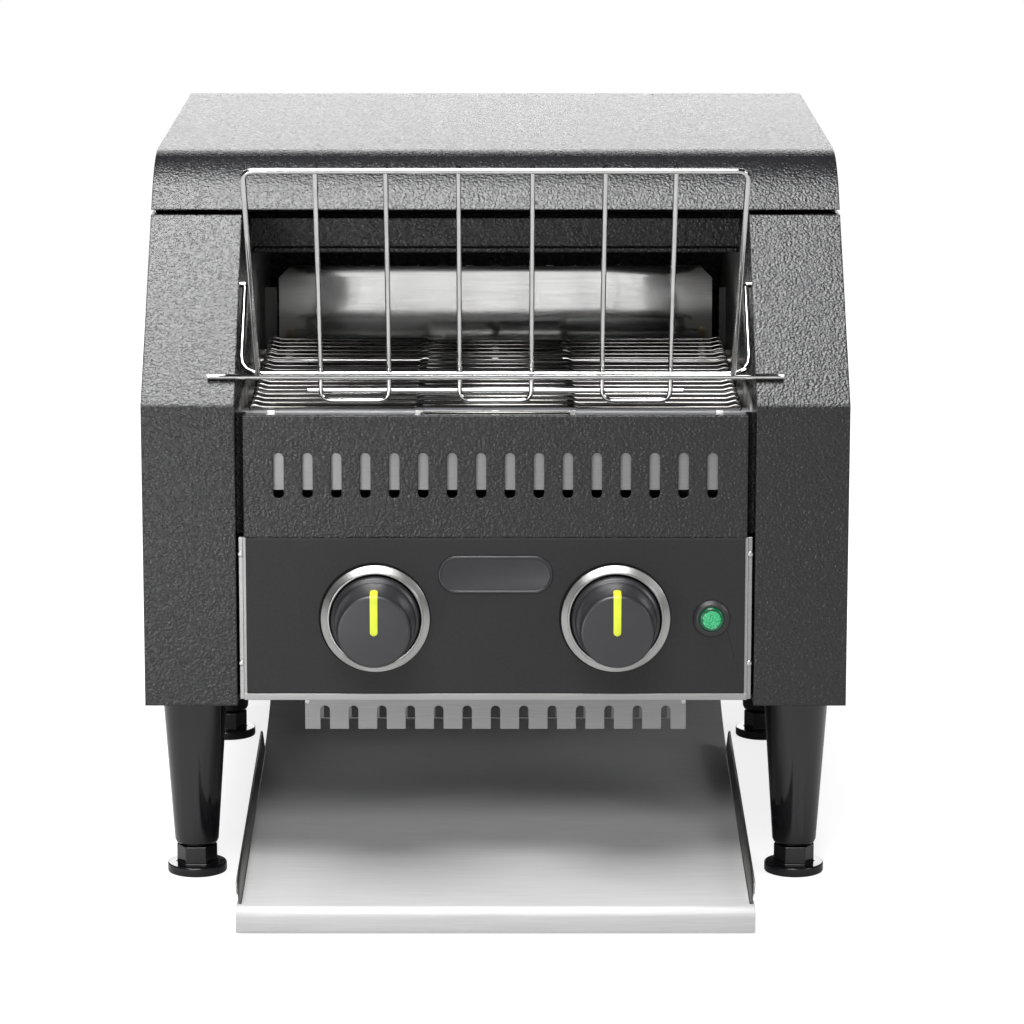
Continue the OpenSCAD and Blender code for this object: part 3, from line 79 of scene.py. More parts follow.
class Look:
    """A Principled material whose texture nodes read the object's own coordinates.

    Sizes and depths are in millimetres. The relief is the normal output that the next bump adds to.
    """

    def __init__(self, name, colour, roughness, metallic=0.0):
        self.material = bpy.data.materials.new(name)
        self.material.use_nodes = True
        tree = self.material.node_tree
        self.nodes, self.links = tree.nodes, tree.links
        self.shader = self.nodes["Principled BSDF"]
        self.coords = self.nodes.new("ShaderNodeTexCoord").outputs["Object"]
        self.relief = None
        self.set("Base Color", (*colour, 1))
        self.set("Roughness", roughness)
        self.set("Metallic", metallic)

    def set(self, socket, value):
        self.shader.inputs[socket].default_value = value
        return self

    def stretched(self, size, stretch):
        """Coordinates in which one unit is size millimetres, times stretch along each axis."""
        mapping = self.nodes.new("ShaderNodeMapping")
        mapping.inputs["Scale"].default_value = [1 / (size * MM * s) for s in stretch]
        self.links.new(self.coords, mapping.inputs["Vector"])
        return mapping.outputs["Vector"]

    def noise(self, size, detail=2.0, stretch=(1, 1, 1)):
        """Soft noise with features of about size millimetres, longer where stretch is over 1."""
        node = self.nodes.new("ShaderNodeTexNoise")
        node.inputs["Scale"].default_value = 1.0
        node.inputs["Detail"].default_value = detail
        self.links.new(self.stretched(size, stretch), node.inputs["Vector"])
        return node.outputs["Fac"]

    def cells(self, size, stretch=(1, 1, 1), feature="F1", output="Distance"):
        """Voronoi cells of about size millimetres."""
        node = self.nodes.new("ShaderNodeTexVoronoi")
        node.feature = feature
        node.inputs["Scale"].default_value = 1.0
        self.links.new(self.stretched(size, stretch), node.inputs["Vector"])
        return node.outputs[output]

    def graded(self, factor, low, high, start=0.3, end=0.7):
        """Maps a factor between start and end to a value between low and high."""
        node = self.nodes.new("ShaderNodeMapRange")
        limits = {"From Min": start, "From Max": end, "To Min": low, "To Max": high}
        for socket, value in limits.items():
            node.inputs[socket].default_value = value
        self.links.new(factor, node.inputs["Value"])
        return node.outputs["Result"]

    def colours(self, factor, stops):
        """Base colour from a ramp of (position, colour) stops."""
        node = self.nodes.new("ShaderNodeValToRGB")
        ramp = node.color_ramp
        while len(ramp.elements) < len(stops):
            ramp.elements.new(0.5)
        for element, (position, colour) in zip(ramp.elements, stops):
            element.position = position
            element.color = (*colour, 1)
        self.links.new(factor, node.inputs["Fac"])
        self.links.new(node.outputs["Color"], self.shader.inputs["Base Color"])
        return self

    def rough(self, factor, low, high):
        """Roughness between low and high."""
        self.links.new(self.graded(factor, low, high), self.shader.inputs["Roughness"])
        return self

    def rounded(self, radius):
        """Shades sharp edges as if they had a radius, in millimetres."""
        node = self.nodes.new("ShaderNodeBevel")
        node.samples = 6
        node.inputs["Radius"].default_value = radius * MM
        self.relief = node.outputs["Normal"]
        return self

    def bump(self, factor, depth):
        """Adds relief of about depth millimetres on top of any relief already there."""
        node = self.nodes.new("ShaderNodeBump")
        node.inputs["Strength"].default_value = 1.0
        node.inputs["Distance"].default_value = depth * MM
        self.links.new(factor, node.inputs["Height"])
        if self.relief:
            self.links.new(self.relief, node.inputs["Normal"])
        self.relief = node.outputs["Normal"]
        self.links.new(self.relief, self.shader.inputs["Normal"])
        return self


def shades(colour, low, high):
    """Ramp stops from a darker to a lighter share of one colour."""
    return [(0.3, [c * low for c in colour]), (0.7, [c * high for c in colour])]


def powder_coat(name, colour, roughness, peel, depth, grain_depth, gloss):
    """Baked paint with an orange peel of the given size and depth, and a finer grain on it."""
    look = Look(name, colour, roughness).rounded(1.2).set("Specular IOR Level", gloss)
    look.colours(look.noise(1.6, 3), shades(colour, 0.85, 1.15))
    look.rough(look.noise(2.5, 2), roughness - 0.03, roughness + 0.03)
    look.bump(look.noise(peel, 1.0), depth)
    look.bump(look.noise(0.35, 2), grain_depth)
    return look


def brushed(name, colour, roughness, along, depth=0.012, smudge=60):
    """Satin metal with its grain along one axis: 0, 1 or 2."""
    stretch = [1, 1, 1]
    stretch[along] = 60
    look = Look(name, colour, roughness, 1.0)
    grain = look.noise(0.5, 4, stretch)
    look.colours(grain, shades(colour, 0.9, 1.06))
    look.rough(look.noise(smudge, 4), roughness - 0.05, roughness + 0.07)
    look.bump(grain, depth)
    return look


def turned(name, colour, roughness, size=0.6, depth=0.01):
    """Machined or drawn metal."""
    look = Look(name, colour, roughness, 1.0)
    look.colours(look.noise(size * 8, 3), shades(colour, 0.88, 1.08))
    look.rough(look.noise(size * 20, 3), roughness - 0.05, roughness + 0.08)
    look.bump(look.noise(size, 3), depth)
    return look


def galvanised(name, colour, roughness):
    """Zinc dipped sheet with its spangle."""
    look = Look(name, colour, roughness, 1.0)
    spangle = look.cells(9, (1, 1.4, 1), output="Color")
    look.colours(spangle, [(0.1, [c * 0.82 for c in colour]), (0.9, [c * 1.1 for c in colour])])
    look.rough(spangle, roughness - 0.08, roughness + 0.08)
    look.bump(look.noise(3, 3), 0.02)
    return look


def moulded(name, colour, roughness, grain=0.25, depth=0.006):
    """Plastic, rubber or ceramic straight from its mould."""
    look = Look(name, colour, roughness)
    look.colours(look.noise(12, 5), shades(colour, 0.88, 1.12))
    look.rough(look.noise(9, 4), roughness - 0.04, roughness + 0.06)
    look.bump(look.noise(grain, 2), depth)
    return look


def make_looks():
    """One material for each slot of the record, and a few more that second_look and dress take."""
    looks = {
        "black_coat": powder_coat(
            "powder_coat_black", (0.009, 0.009, 0.01), 0.27,
            peel=1.3, depth=0.46, grain_depth=0.02, gloss=0.4,
        ),
        "black_panel": powder_coat(
            "panel_coat_black", (0.012, 0.012, 0.013), 0.5,
            peel=0.7, depth=0.012, grain_depth=0.01, gloss=0.26,
        ),
        "dark_badge": moulded("badge_dark", (0.01, 0.01, 0.012), 0.42, 0.5, 0.003),
        "stainless": brushed("stainless_satin", (0.6, 0.59, 0.57), 0.34, 0),
        # Darker stainless for the trim round the control panel: painted shade.
        "trim_steel": brushed("stainless_edge_painted_shade", (0.3, 0.3, 0.298), 0.4, 0),
        # Darker stainless for the comb: painted shade, for the comb standing under the body.
        "comb_steel": brushed("stainless_comb_painted_shade", (0.22, 0.22, 0.222), 0.42, 0, 0.006),
        "chute_steel": brushed("stainless_smooth", (0.8, 0.8, 0.795), 0.12, 0, 0.001, 120),
        "tray_steel": brushed(
            "stainless_tray", (0.42, 0.42, 0.42), 0.56, 0, 0.003, 90
        ).set("Metallic", 0.4),
        "wall_steel": brushed(
            "stainless_wall", (0.6, 0.595, 0.585), 0.42, 1, 0.004
        ).set("Metallic", 0.4),
        # Dark steel: painted shade on the reflectors and the heat shield inside the body, and a
        # painted dark reflection on the tray's walls.
        "painted_shade_steel": brushed("steel_painted_shade", (0.13, 0.125, 0.12), 0.4, 0, 0.006),
        # Darker stainless on the heat baffle: painted shade for the dark inside of the slots.
        "baffle_painted_shade": brushed("stainless_baffle_painted_shade", (0.22, 0.22, 0.22), 0.45, 0, 0.004),
        # Near-white, almost matt steel for the inner walls' bent tabs: a painted highlight for their
        # bright reflection.
        "bracket_painted_highlight": brushed(
            "stainless_bracket_painted_highlight", (0.92, 0.92, 0.91), 0.4, 2, 0.003
        ).set("Metallic", 0.1),
        "galvanised": galvanised("galvanised_sheet", (0.38, 0.385, 0.39), 0.42),
        "zinc_steel": turned("zinc_plated", (0.42, 0.42, 0.41), 0.34),
        "ring_steel": brushed("ring_turned", (0.36, 0.358, 0.352), 0.3, 2, 0.006, 20),
        "bright_wire": turned("wire_bright", (0.56, 0.56, 0.555), 0.1, 1.2, 0.003),
        "belt_steel": turned("wire_belt", (0.2, 0.2, 0.2), 0.19, 0.9, 0.006),
        "shaft_steel": turned("steel_shaft", (0.48, 0.48, 0.47), 0.32),
        # Oiled steel; on the comb's rear leg the same finish stands for painted shade.
        "dark_steel": turned("steel_oiled_and_painted_shade", (0.12, 0.12, 0.12), 0.36),
        "bronze": turned("bronze_sintered", (0.5, 0.34, 0.16), 0.45),
        "motor_paint": moulded("motor_grey", (0.34, 0.36, 0.39), 0.45),
        "quartz": moulded("quartz_grey", (0.08, 0.08, 0.085), 0.3, 1.5, 0.01),
        "ceramic_white": moulded("ceramic_cap", (0.16, 0.155, 0.145), 0.45, 0.6, 0.012),
        "black_plastic": moulded("plastic_black", (0.008, 0.008, 0.009), 0.4),
        "cream_plastic": moulded("plastic_cream", (0.7, 0.68, 0.6), 0.45),
        "board_green": moulded("board_green", (0.02, 0.15, 0.06), 0.35, 2.5, 0.03),
        "green_lens": lens_look(),
        "gasket_black": moulded(
            "rubber_black", (0.003, 0.003, 0.003), 0.6
        ).set("Specular IOR Level", 0.1),
        "green_rim": moulded("lens_rim", (0.0, 0.06, 0.022), 0.2, 0.5, 0.003),
        "knob_plastic": moulded("knob_satin", (0.016, 0.016, 0.018), 0.34, 0.3, 0.004),
        "pointer_lime": moulded("pointer_lime", (0.5, 0.56, 0.02), 0.45, 0.4, 0.004),
        "leg_plastic": moulded("leg_gloss", (0.005, 0.005, 0.006), 0.14, 3.0, 0.004),
    }
    looks["belt_steel"].colours(looks["belt_steel"].noise(25, 3), [
        (0.3, (0.15, 0.145, 0.137)),
        (0.7, (0.26, 0.255, 0.25)),
    ])
    return {slot: look.material for slot, look in looks.items()}


def lens_look():
    """Green plastic with a fine raised dot pattern."""
    look = Look("lens_green", (0.02, 0.3, 0.12), 0.18)
    dots = look.cells(0.62, feature="SMOOTH_F1")
    look.colours(dots, [(0.15, (0.06, 0.46, 0.2)), (0.6, (0.0, 0.17, 0.06))])
    look.bump(look.graded(dots, 1, 0, 0.0, 0.5), 0.12)
    look.set("Emission Color", (0.0, 0.42, 0.14, 1)).set("Emission Strength", 0.08)
    return look


LOOKS = make_looks()


# ---- Mesh helpers ----

# Vertices nearer than this, in metres, become one: in the CAD's meshes, and where a lathe closes.
WELD = 1e-6
LATHE_WELD = 1e-7
FLAT_ANGLE = math.radians(0.4)
SHEET_EDGE_R = 0.25
SHEET_EDGE_ANGLE = 60


def add_piece(name, bm, node, replaces=True, look=None, smooth=35):
    """Turns a bmesh into a piece that rides with the node's body and takes its finish."""
    mesh = bpy.data.meshes.new(name)
    bmesh.ops.recalc_face_normals(bm, faces=bm.faces)
    bm.to_mesh(mesh)
    bm.free()
    mesh.shade_smooth()
    mesh.set_sharp_from_angle(angle=math.radians(smooth))
    piece = bpy.data.objects.new(name, mesh)
    bpy.context.scene.collection.objects.link(piece)
    mesh.materials.append(look or LOOKS[SLOT_OF[node]])
    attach(piece, BODY_OF[node])
    if replaces:
        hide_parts(node)
    return piece


def break_edges(piece, radius, angle):
    """Rounds the edges sharper than angle degrees."""
    cut = piece.modifiers.new("edge", "BEVEL")
    cut.width = radius * MM
    cut.segments = 2
    cut.limit_method = "ANGLE"
    cut.angle_limit = math.radians(angle)
    cut.use_clamp_overlap = False
    return cut


def thicken(piece, thickness):
    """Gives an open sheet its thickness, half of it to each side."""
    solid = piece.modifiers.new("sheet", "SOLIDIFY")
    solid.thickness = thickness * MM
    solid.offset = 0
    break_edges(piece, SHEET_EDGE_R, SHEET_EDGE_ANGLE)


def dress(node, bevel, smooth=35, look=None):
    """The node's own shape with its edges broken by a small radius."""
    bm = bmesh.new()
    bm.from_mesh(frame["nodes"][node].data)
    bmesh.ops.remove_doubles(bm, verts=bm.verts, dist=WELD)
    bmesh.ops.dissolve_limit(bm, angle_limit=FLAT_ANGLE, verts=bm.verts, edges=bm.edges)
    piece = add_piece(node + "_dressed", bm, node, look=look, smooth=180 if bevel else smooth)
    if bevel:
        break_edges(piece, bevel, smooth).harden_normals = True
        shade = piece.modifiers.new("shade", "WEIGHTED_NORMAL")
        shade.keep_sharp = False
    return piece


def join(bm, one, two):
    """Faces between two closed rings of as many points."""
    for k in range(len(one)):
        n = (k + 1) % len(one)
        bm.faces.new((one[k], one[n], two[n], two[k]))


def skin(bm, rings):
    """A closed body from rings of as many points, with flat ends."""
    for one, two in zip(rings, rings[1:]):
        join(bm, one, two)
    bm.faces.new(rings[0])
    bm.faces.new(rings[-1])


def sheet(bm, rows):
    """Faces between rows of points."""
    verts = [[bm.verts.new(p) for p in row] for row in rows]
    for one, two in zip(verts, verts[1:]):
        for k in range(len(one) - 1):
            bm.faces.new((one[k], one[k + 1], two[k + 1], two[k]))


def tube(bm, points, radius, sides):
    """A round wire along points, with flat ends."""
    aside = Vector((0, 0, 1))
    turns = [2 * math.pi * k / sides for k in range(sides)]
    rings = []
    for i, point in enumerate(points):
        before = points[max(i - 1, 0)]
        after = points[min(i + 1, len(points) - 1)]
        along = (after - before).normalized()
        aside = (aside - aside.dot(along) * along).normalized()
        other = along.cross(aside)
        rings.append([
            bm.verts.new(point + radius * (math.cos(a) * aside + math.sin(a) * other))
            for a in turns
        ])
    skin(bm, rings)


def lathe(bm, profile, base, out, sides=96):
    """Turns (radius, height) points in millimetres round the direction out.

    A radius of 0 closes the end.
    """
    turn = out.to_track_quat("Z", "Y").to_matrix()
    turns = [2 * math.pi * k / sides for k in range(sides)]
    rings = []
    for radius, height in profile:
        if radius == 0:
            rings.append([bm.verts.new(base + turn @ Vector((0, 0, height * MM)))])
            continue
        spots = [Vector((radius * math.cos(a), radius * math.sin(a), height)) for a in turns]
        rings.append([bm.verts.new(base + turn @ spot * MM) for spot in spots])
    for one, two in zip(rings, rings[1:]):
        if len(one) == len(two):
            join(bm, one, two)
            continue
        for k in range(sides):
            n = (k + 1) % sides
            if len(one) == 1:
                bm.faces.new((one[0], two[n], two[k]))
            else:
                bm.faces.new((one[k], one[n], two[0]))
    if profile[0] == profile[-1]:
        bmesh.ops.remove_doubles(bm, verts=rings[0] + rings[-1], dist=LATHE_WELD)


def fillet(corners, steps=6):
    """Points of an outline; a corner with a third number is rounded off over that length."""
    points = []
    for i, corner in enumerate(corners):
        here = Vector(corner[:2])
        if len(corner) == 2:
            points.append(tuple(here))
            continue
        back = (Vector(corners[i - 1][:2]) - here).normalized()
        ahead = (Vector(corners[i + 1][:2]) - here).normalized()
        for k in range(steps + 1):
            t = k / steps
            points.append(tuple(here + corner[2] * ((1 - t) ** 2 * back + t ** 2 * ahead)))
    return points


def slab(bm, outline, to_point, near, far):
    """A flat plate: outline points (a, b) go through to_point(a, b, height) at two heights."""
    low = [bm.verts.new(to_point(a, b, near)) for a, b in outline]
    high = [bm.verts.new(to_point(a, b, far)) for a, b in outline]
    bm.faces.new(low)
    bm.faces.new(high)
    join(bm, low, high)


# ---- Case ----

# Nodes that are shown in the CAD's shape, each with the radius of its edges in millimetres.
# A radius of 0 leaves the edges to the coat's own rounding.
SHEETS = {
    "top_cover": 0, "left_housing": 0, "right_housing": 0, "rear_panel": 0, "front_header": 0.4,
    "slot_panel": 0, "control_panel": 0.4, "control_chassis": 0.25, "heat_baffle": 0.2,
    "left_inner_wall": 0.2, "right_inner_wall": 0.2, "base_plate": 0.3, "upper_reflector": 0.2,
    "lower_reflector": 0.2, "heat_shield": 0.2, "tray_rails": 0.25, "legs": 0,
    "foot_front_left": 0.7, "foot_front_right": 0.7, "foot_rear_left": 0.7, "foot_rear_right": 0.7,
    "rack_frame": 0, "rack_grid": 0, "front_sprockets": 0.25, "rear_sprockets": 0.25,
    "fan_frame": 0.5, "fan_rotor": 0.3, "heater_end_caps": 0.4, "gear_motor": 0.8,
    "rotary_switch": 0.6, "terminal_block": 0.4,
}

# Nodes that are shown as the CAD's own mesh, because little of them can be seen.
KEPT = [
    "front_shaft", "rear_shaft", "shaft_bushings", "drive_sprocket", "motor_sprocket", "drive_chain",
    "upper_heaters", "lower_heaters", "switch_spindle", "speed_potentiometer", "speed_spindle",
    "control_board", "safety_thermostat",
]

# Nodes with a finish of their own within their slot. The dark steels on the reflectors, the heat
# shield and the heat baffle are painted shade.
FINISHES = {
    "upper_reflector": "painted_shade_steel", "lower_reflector": "painted_shade_steel", "heat_shield": "painted_shade_steel",
    "left_inner_wall": "wall_steel", "right_inner_wall": "wall_steel", "heat_baffle": "baffle_painted_shade",
}

# The bent tab on each inner wall: how far ahead of the back it ends, its reach, and its heights.
BRACKET_AHEAD = 66
BRACKET_REACH = 4
BRACKET_LOW_Z = 234
BRACKET_HIGH_Z = 271


def second_look(name, material, chosen):
    """Gives another finish to the faces whose middle is chosen, as (x, depth, z) in millimetres."""
    mesh = bpy.data.objects[name].data
    mesh.materials.append(material)
    for face in mesh.polygons:
        spot = face.center
        if chosen(spot.x / MM, (spot.y - FRONT) / MM, spot.z / MM):
            face.material_index = len(mesh.materials) - 1


def guide_bracket(x, depth, z):
    """Whether a place is on the bent tab at the rear end of an inner wall, whose faces take a painted
    highlight.
    """
    wall_end = (BACK - FRONT) / MM - BRACKET_AHEAD
    return wall_end - BRACKET_REACH < depth < wall_end and BRACKET_LOW_Z < z < BRACKET_HIGH_Z


def build_case():
    for node, bevel in SHEETS.items():
        dress(node, bevel, look=LOOKS.get(FINISHES.get(node)))
    for node in ("left_inner_wall", "right_inner_wall"):
        # The bent tabs take the near-white finish: a painted highlight.
        second_look(node + "_dressed", LOOKS["bracket_painted_highlight"], guide_bracket)
    for node in KEPT:
        part = frame["nodes"][node]
        part.data.materials.clear()
        part.data.materials.append(LOOKS[SLOT_OF[node]])


PLATE_HALF = 125.3
PLATE_T = 0.9
PLATE_SKIN = 0.5
PLATE_TOP_OUT = 43
PLATE_BEND_OUT = 40.9
PLATE_BEND_Z = 267
PLATE_LEAN = 0.55
CORNER_CUT = 7
PLATE_EAR_OUT = 40.5
PLATE_EAR_X = (PLATE_HALF - 1, 130, 137)
PLATE_EAR_Z = (205, 225, 245)


def build_deflector():
    """The plate behind the belt: cut corners, a soft bend, and an ear on each side.

    Each out is a distance behind the rear shaft's axis.
    """
    low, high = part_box("rear_deflector")
    rear_shaft = (centre("rear_shaft").y - FRONT) / MM
    top = high.z / MM
    foot = low.z / MM + 1
    line = fillet([
        (PLATE_TOP_OUT, top), (PLATE_BEND_OUT, PLATE_BEND_Z, 3), (PLATE_BEND_OUT, 240),
        (40, 200, 4), (57, foot), (67, foot),
    ], 4)
    bm = bmesh.new()
    rows = []
    for out, z in line:
        reach = PLATE_HALF - clamped((z - top + CORNER_CUT) / CORNER_CUT) * CORNER_CUT
        rows.append([place(x * reach, rear_shaft + out + PLATE_SKIN, z) for x in ACROSS])
    cut_depth = rear_shaft + PLATE_TOP_OUT - PLATE_LEAN + PLATE_SKIN
    rows.insert(1, [place(x * PLATE_HALF, cut_depth, top - CORNER_CUT) for x in ACROSS])
    sheet(bm, rows)
    for side in (-1, 1):
        sheet(bm, [
            [place(side * x, rear_shaft + PLATE_EAR_OUT, z) for x in PLATE_EAR_X]
            for z in PLATE_EAR_Z
        ])
    piece = add_piece("deflector_plate", bm, "rear_deflector", smooth=30)
    thicken(piece, PLATE_T)


COMB_SHADE_FROM = 8
COMB_STRIP = 2


def build_comb():
    """The comb, with painted shade on its rear leg: dark steel there, apart from that leg's lower
    strip.
    """
    dress("comb_guard", 0.25)
    low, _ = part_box("comb_guard")
    shade = (low.y - FRONT) / MM + COMB_SHADE_FROM
    strip = low.z / MM + COMB_STRIP
    # Painted shade: the rear leg's faces above its lower strip take the dark steel.
    second_look(
        "comb_guard_dressed", LOOKS["dark_steel"],
        lambda x, depth, z: depth > shade and z > strip,
    )


# The badge's section, as (distance in from its outline, height over the panel).
BADGE_RIM = ((0, 0), (0, 0.8), (0.35, 1.15), (1.1, 1.2), (1.5, 0.8), (1.9, 0.7))


def build_badge():
    """A bare pill with a raised rim."""
    low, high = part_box("badge_plate")
    half = (high - low) / 2
    middle = centre("badge_plate")

    def pill(inset):
        radius = half.z - inset * MM
        reach = half.x - half.z
        angles = [math.radians(a) for a in range(-90, 91, 6)]
        right = [(reach + radius * math.cos(a), radius * math.sin(a)) for a in angles]
        return right + [(-a, -b) for a, b in right]

    bm = bmesh.new()
    skin(bm, [
        [
            bm.verts.new((middle.x + a, FRONT - height * MM, middle.z + b))
            for a, b in pill(inset)
        ]
        for inset, height in BADGE_RIM
    ])
    add_piece("badge_pill", bm, "badge_plate")


# ---- Screws ----

SCREW_R = 3.4
RIVET_D = 4
# Where the head's rings stand, as shares of its radius.
HEAD_RINGS = (1, 0.985, 0.93, 0.8, 0.66, 0.6, 0.54, 0.46, 0.38, 0.3, 0.24, 0.18, 0.12, 0.06)
# The head's and the cross recess's measures, as shares of the head's height or radius.
HEAD_RIM = 0.35
RECESS_DEEP = 0.55
RECESS_HALF = 0.17
RECESS_BANK = 0.05
RECESS_REACH = 0.64
RECESS_END = 0.08


def screw_head(bm, spot, out, radius, height, turn):
    """A pan head with a cross recess, built as a lathe whose middle is pushed in along two bars."""
    sides = 48
    upright = out.to_track_quat("Z", "Y").to_matrix()
    rings = []
    for i, share in enumerate(HEAD_RINGS):
        r = radius * share
        ring = []
        for k in range(sides):
            a = 2 * math.pi * k / sides
            bar = min(abs(r * math.cos(a - turn)), abs(r * math.sin(a - turn)))
            rise = HEAD_RIM + (1 - HEAD_RIM) * (1 - (r / radius) ** 2) ** 0.5
            dome = height * rise if i else 0
            sunk = clamped((radius * RECESS_HALF - bar) / (radius * RECESS_BANK))
            inside = clamped((radius * RECESS_REACH - r) / (radius * RECESS_END))
            dome -= height * RECESS_DEEP * sunk * inside
            point = Vector((r * math.cos(a), r * math.sin(a), dome))
            ring.append(bm.verts.new(spot + upright @ point * MM))
        rings.append(ring)
    tip = bm.verts.new(spot + out * height * (1 - RECESS_DEEP) * MM)
    for one, two in zip(rings, rings[1:]):
        join(bm, one, two)
    for k in range(sides):
        bm.faces.new((rings[-1][k], rings[-1][(k + 1) % sides], tip))
    bm.faces.new(rings[0])


def islands(node):
    """Low and high corners of each loose solid in a node, in the order of their low corners."""
    bm = bmesh.new()
    bm.from_mesh(frame["nodes"][node].data)
    bmesh.ops.remove_doubles(bm, verts=bm.verts, dist=WELD)
    todo = set(bm.verts)
    boxes = []
    while todo:
        stack = [todo.pop()]
        found = list(stack)
        while stack:
            for edge in stack.pop().link_edges:
                for vert in edge.verts:
                    if vert in todo:
                        todo.remove(vert)
                        stack.append(vert)
                        found.append(vert)
        spots = [v.co for v in found]
        boxes.append((
            Vector([min(s[i] for s in spots) for i in range(3)]),
            Vector([max(s[i] for s in spots) for i in range(3)]),
        ))
    bm.free()
    return sorted(boxes, key=lambda box: tuple(box[0]))


def build_screws():
    """Cross head screws where the CAD has a large head, and domed rivets where it has a small one."""
    bm = bmesh.new()
    for low, high in islands("case_screws"):
        middle = (low + high) / 2
        turn = 0.7 + 40 * middle.x + 9 * middle.z
        if high.y > BACK:
            screw_head(bm, Vector((middle.x, BACK, middle.z)), -OUT, SCREW_R, 1.8, turn)
        else:
            base = Vector((middle.x, high.y, middle.z))
            lathe(bm, fillet([(0, 0), (1.7, 0), (1.7, 1.2, 0.9), (0, 1.35)]), base, OUT, 32)
    add_piece("screw_heads", bm, "case_screws")
    bm = bmesh.new()
    for low, high in islands("comb_screws"):
        middle = (low + high) / 2
        if high.z - low.z > RIVET_D * MM:
            base = Vector((middle.x, middle.y, high.z))
            screw_head(bm, base, Vector((0, 0, -1)), SCREW_R, 2, 0.5)
        else:
            base = Vector((middle.x, high.y, middle.z))
            lathe(bm, fillet([(0, 0), (1.4, 0), (1.4, 0.6, 0.4), (0, 0.6)]), base, OUT, 24)
    add_piece("comb_fixings", bm, "comb_screws")


# ---- Controls ----

KNOB_GAP = 0.8
KNOB_SKIRT = 7
KNOB_BODY_R = 19.6
KNOB_EDGE_R = 18.85
KNOB_EDGE_H = 3.2
POINTER_W = 4
POINTER_LOW = -2
POINTER_SIDE = 9
# The strip's section, as (share of its half width, height over the knob's skin).
POINTER_SECTION = ((-1, -0.3), (-1, 0.05), (-0.8, 0.22), (0.8, 0.22), (1, 0.05), (1, -0.3))


def round_part(node):
    """The foot of a round part's axis on the panel, its radius and how far it stands out."""
    low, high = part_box(node)
    base = Vector((centre(node).x, FRONT, centre(node).z))
    return base, (high.x - low.x) / 2 / MM, (FRONT - low.y) / MM


def build_knob(side):
    """A skirted knob with a cambered side and a flat face."""
    node = side + "_knob"
    base, radius, out = round_part(node)
    bm = bmesh.new()
    lathe(bm, fillet([
        (0, KNOB_GAP), (radius - 1.4, KNOB_GAP), (radius, KNOB_GAP, 0.5), (radius, KNOB_SKIRT, 0.9),
        (radius - 1.9, KNOB_SKIRT + 1.1, 0.8), (KNOB_BODY_R, out - KNOB_EDGE_H, 1.0),
        (KNOB_EDGE_R, out, 1.3), (0, out),
    ], 8), base, OUT, 128)
    add_piece(node + "_turned", bm, node, smooth=60)
    build_pointer(side, base, out)


def build_pointer(side, base, out):
    """A strip laid into the knob from its middle over the edge and down its side."""
    line = fillet([
        (POINTER_LOW, out), (KNOB_EDGE_R, out, 1.3), (KNOB_BODY_R, out - KNOB_EDGE_H, 1.0),
        (KNOB_BODY_R + 0.65, out - POINTER_SIDE),
    ], 6)
    start, end = Vector(line[0]), Vector(line[-1])
    ahead = (Vector(line[1]) - start).normalized()
    behind = (end - Vector(line[-2])).normalized()
    stations = []
    half = POINTER_W / 2
    steps = 8
    for k in range(steps):
        a = math.pi / 2 * (1 - k / steps)
        stations.append((start + ahead * half * (1 - math.sin(a)), max(half * math.cos(a), 0.02)))
    stations += [(Vector(p), half) for p in line[1:-1] if Vector(p).x > POINTER_LOW + half]
    for k in range(1, steps + 1):
        a = math.pi / 2 * k / steps
        stations.append((end - behind * half * (1 - math.sin(a)), max(half * math.cos(a), 0.02)))
    bm = bmesh.new()
    rows = []
    for i, (spot, reach) in enumerate(stations):
        before = stations[max(i - 1, 0)][0]
        after = stations[min(i + 1, len(stations) - 1)][0]
        along = (after - before).normalized()
        up = Vector((-along.y, along.x))
        row = []
        for share, lift in POINTER_SECTION:
            lifted = spot + up * lift
            row.append(bm.verts.new(base + Vector((share * reach, -lifted.y, lifted.x)) * MM))
        rows.append(row)
    for one, two in zip(rows, rows[1:]):
        for k in range(len(one) - 1):
            bm.faces.new((one[k], one[k + 1], two[k + 1], two[k]))
    bm.faces.new(rows[0])
    bm.faces.new(rows[-1])
    add_piece(side + "_pointer_strip", bm, side + "_pointer", smooth=50)


DIAL_BORE_R = 24.15
GASKET_BORE_R = DIAL_BORE_R - 3
GASKET_OVER = 0.7
GASKET_T = 0.3
# The black crescent that this offset shows at the upper left is a painted shadow.
# The gasket sits a little off the ring's centre, as in the photo.
GASKET_SHADOW_OFF = Vector((-0.4, 0, 0.5))


def build_dial(side):
    """Conical ring with a proud inner edge, on a thin black gasket set off its centre, whose black
    crescent at the upper left is painted shadow.
    """
    node = side + "_dial_ring"
    base, radius, height = round_part(node)
    bm = bmesh.new()
    lathe(bm, fillet([
        (DIAL_BORE_R, 0), (radius, 0), (radius, 0.85, 0.3), (DIAL_BORE_R + 1.1, height - 0.35, 0.25),
        (DIAL_BORE_R + 0.9, height, 0.15), (DIAL_BORE_R, height, 0.2), (DIAL_BORE_R, 0),
    ], 5), base, OUT, 160)
    add_piece(node + "_turned", bm, node, smooth=24)
    bm = bmesh.new()
    rim = radius + GASKET_OVER
    lathe(bm, [
        (GASKET_BORE_R, 0), (rim, 0), (rim, GASKET_T), (GASKET_BORE_R, GASKET_T), (GASKET_BORE_R, 0),
    ], base + GASKET_SHADOW_OFF * MM, OUT, 128)
    add_piece(side + "_dial_gasket_and_shadow", bm, node, replaces=False, look=LOOKS["gasket_black"])


BEZEL_BORE_R = 6.75
BEZEL_SHANK_IN = 4
LENS_R = 6.55
LENS_DISC_R = 4.8


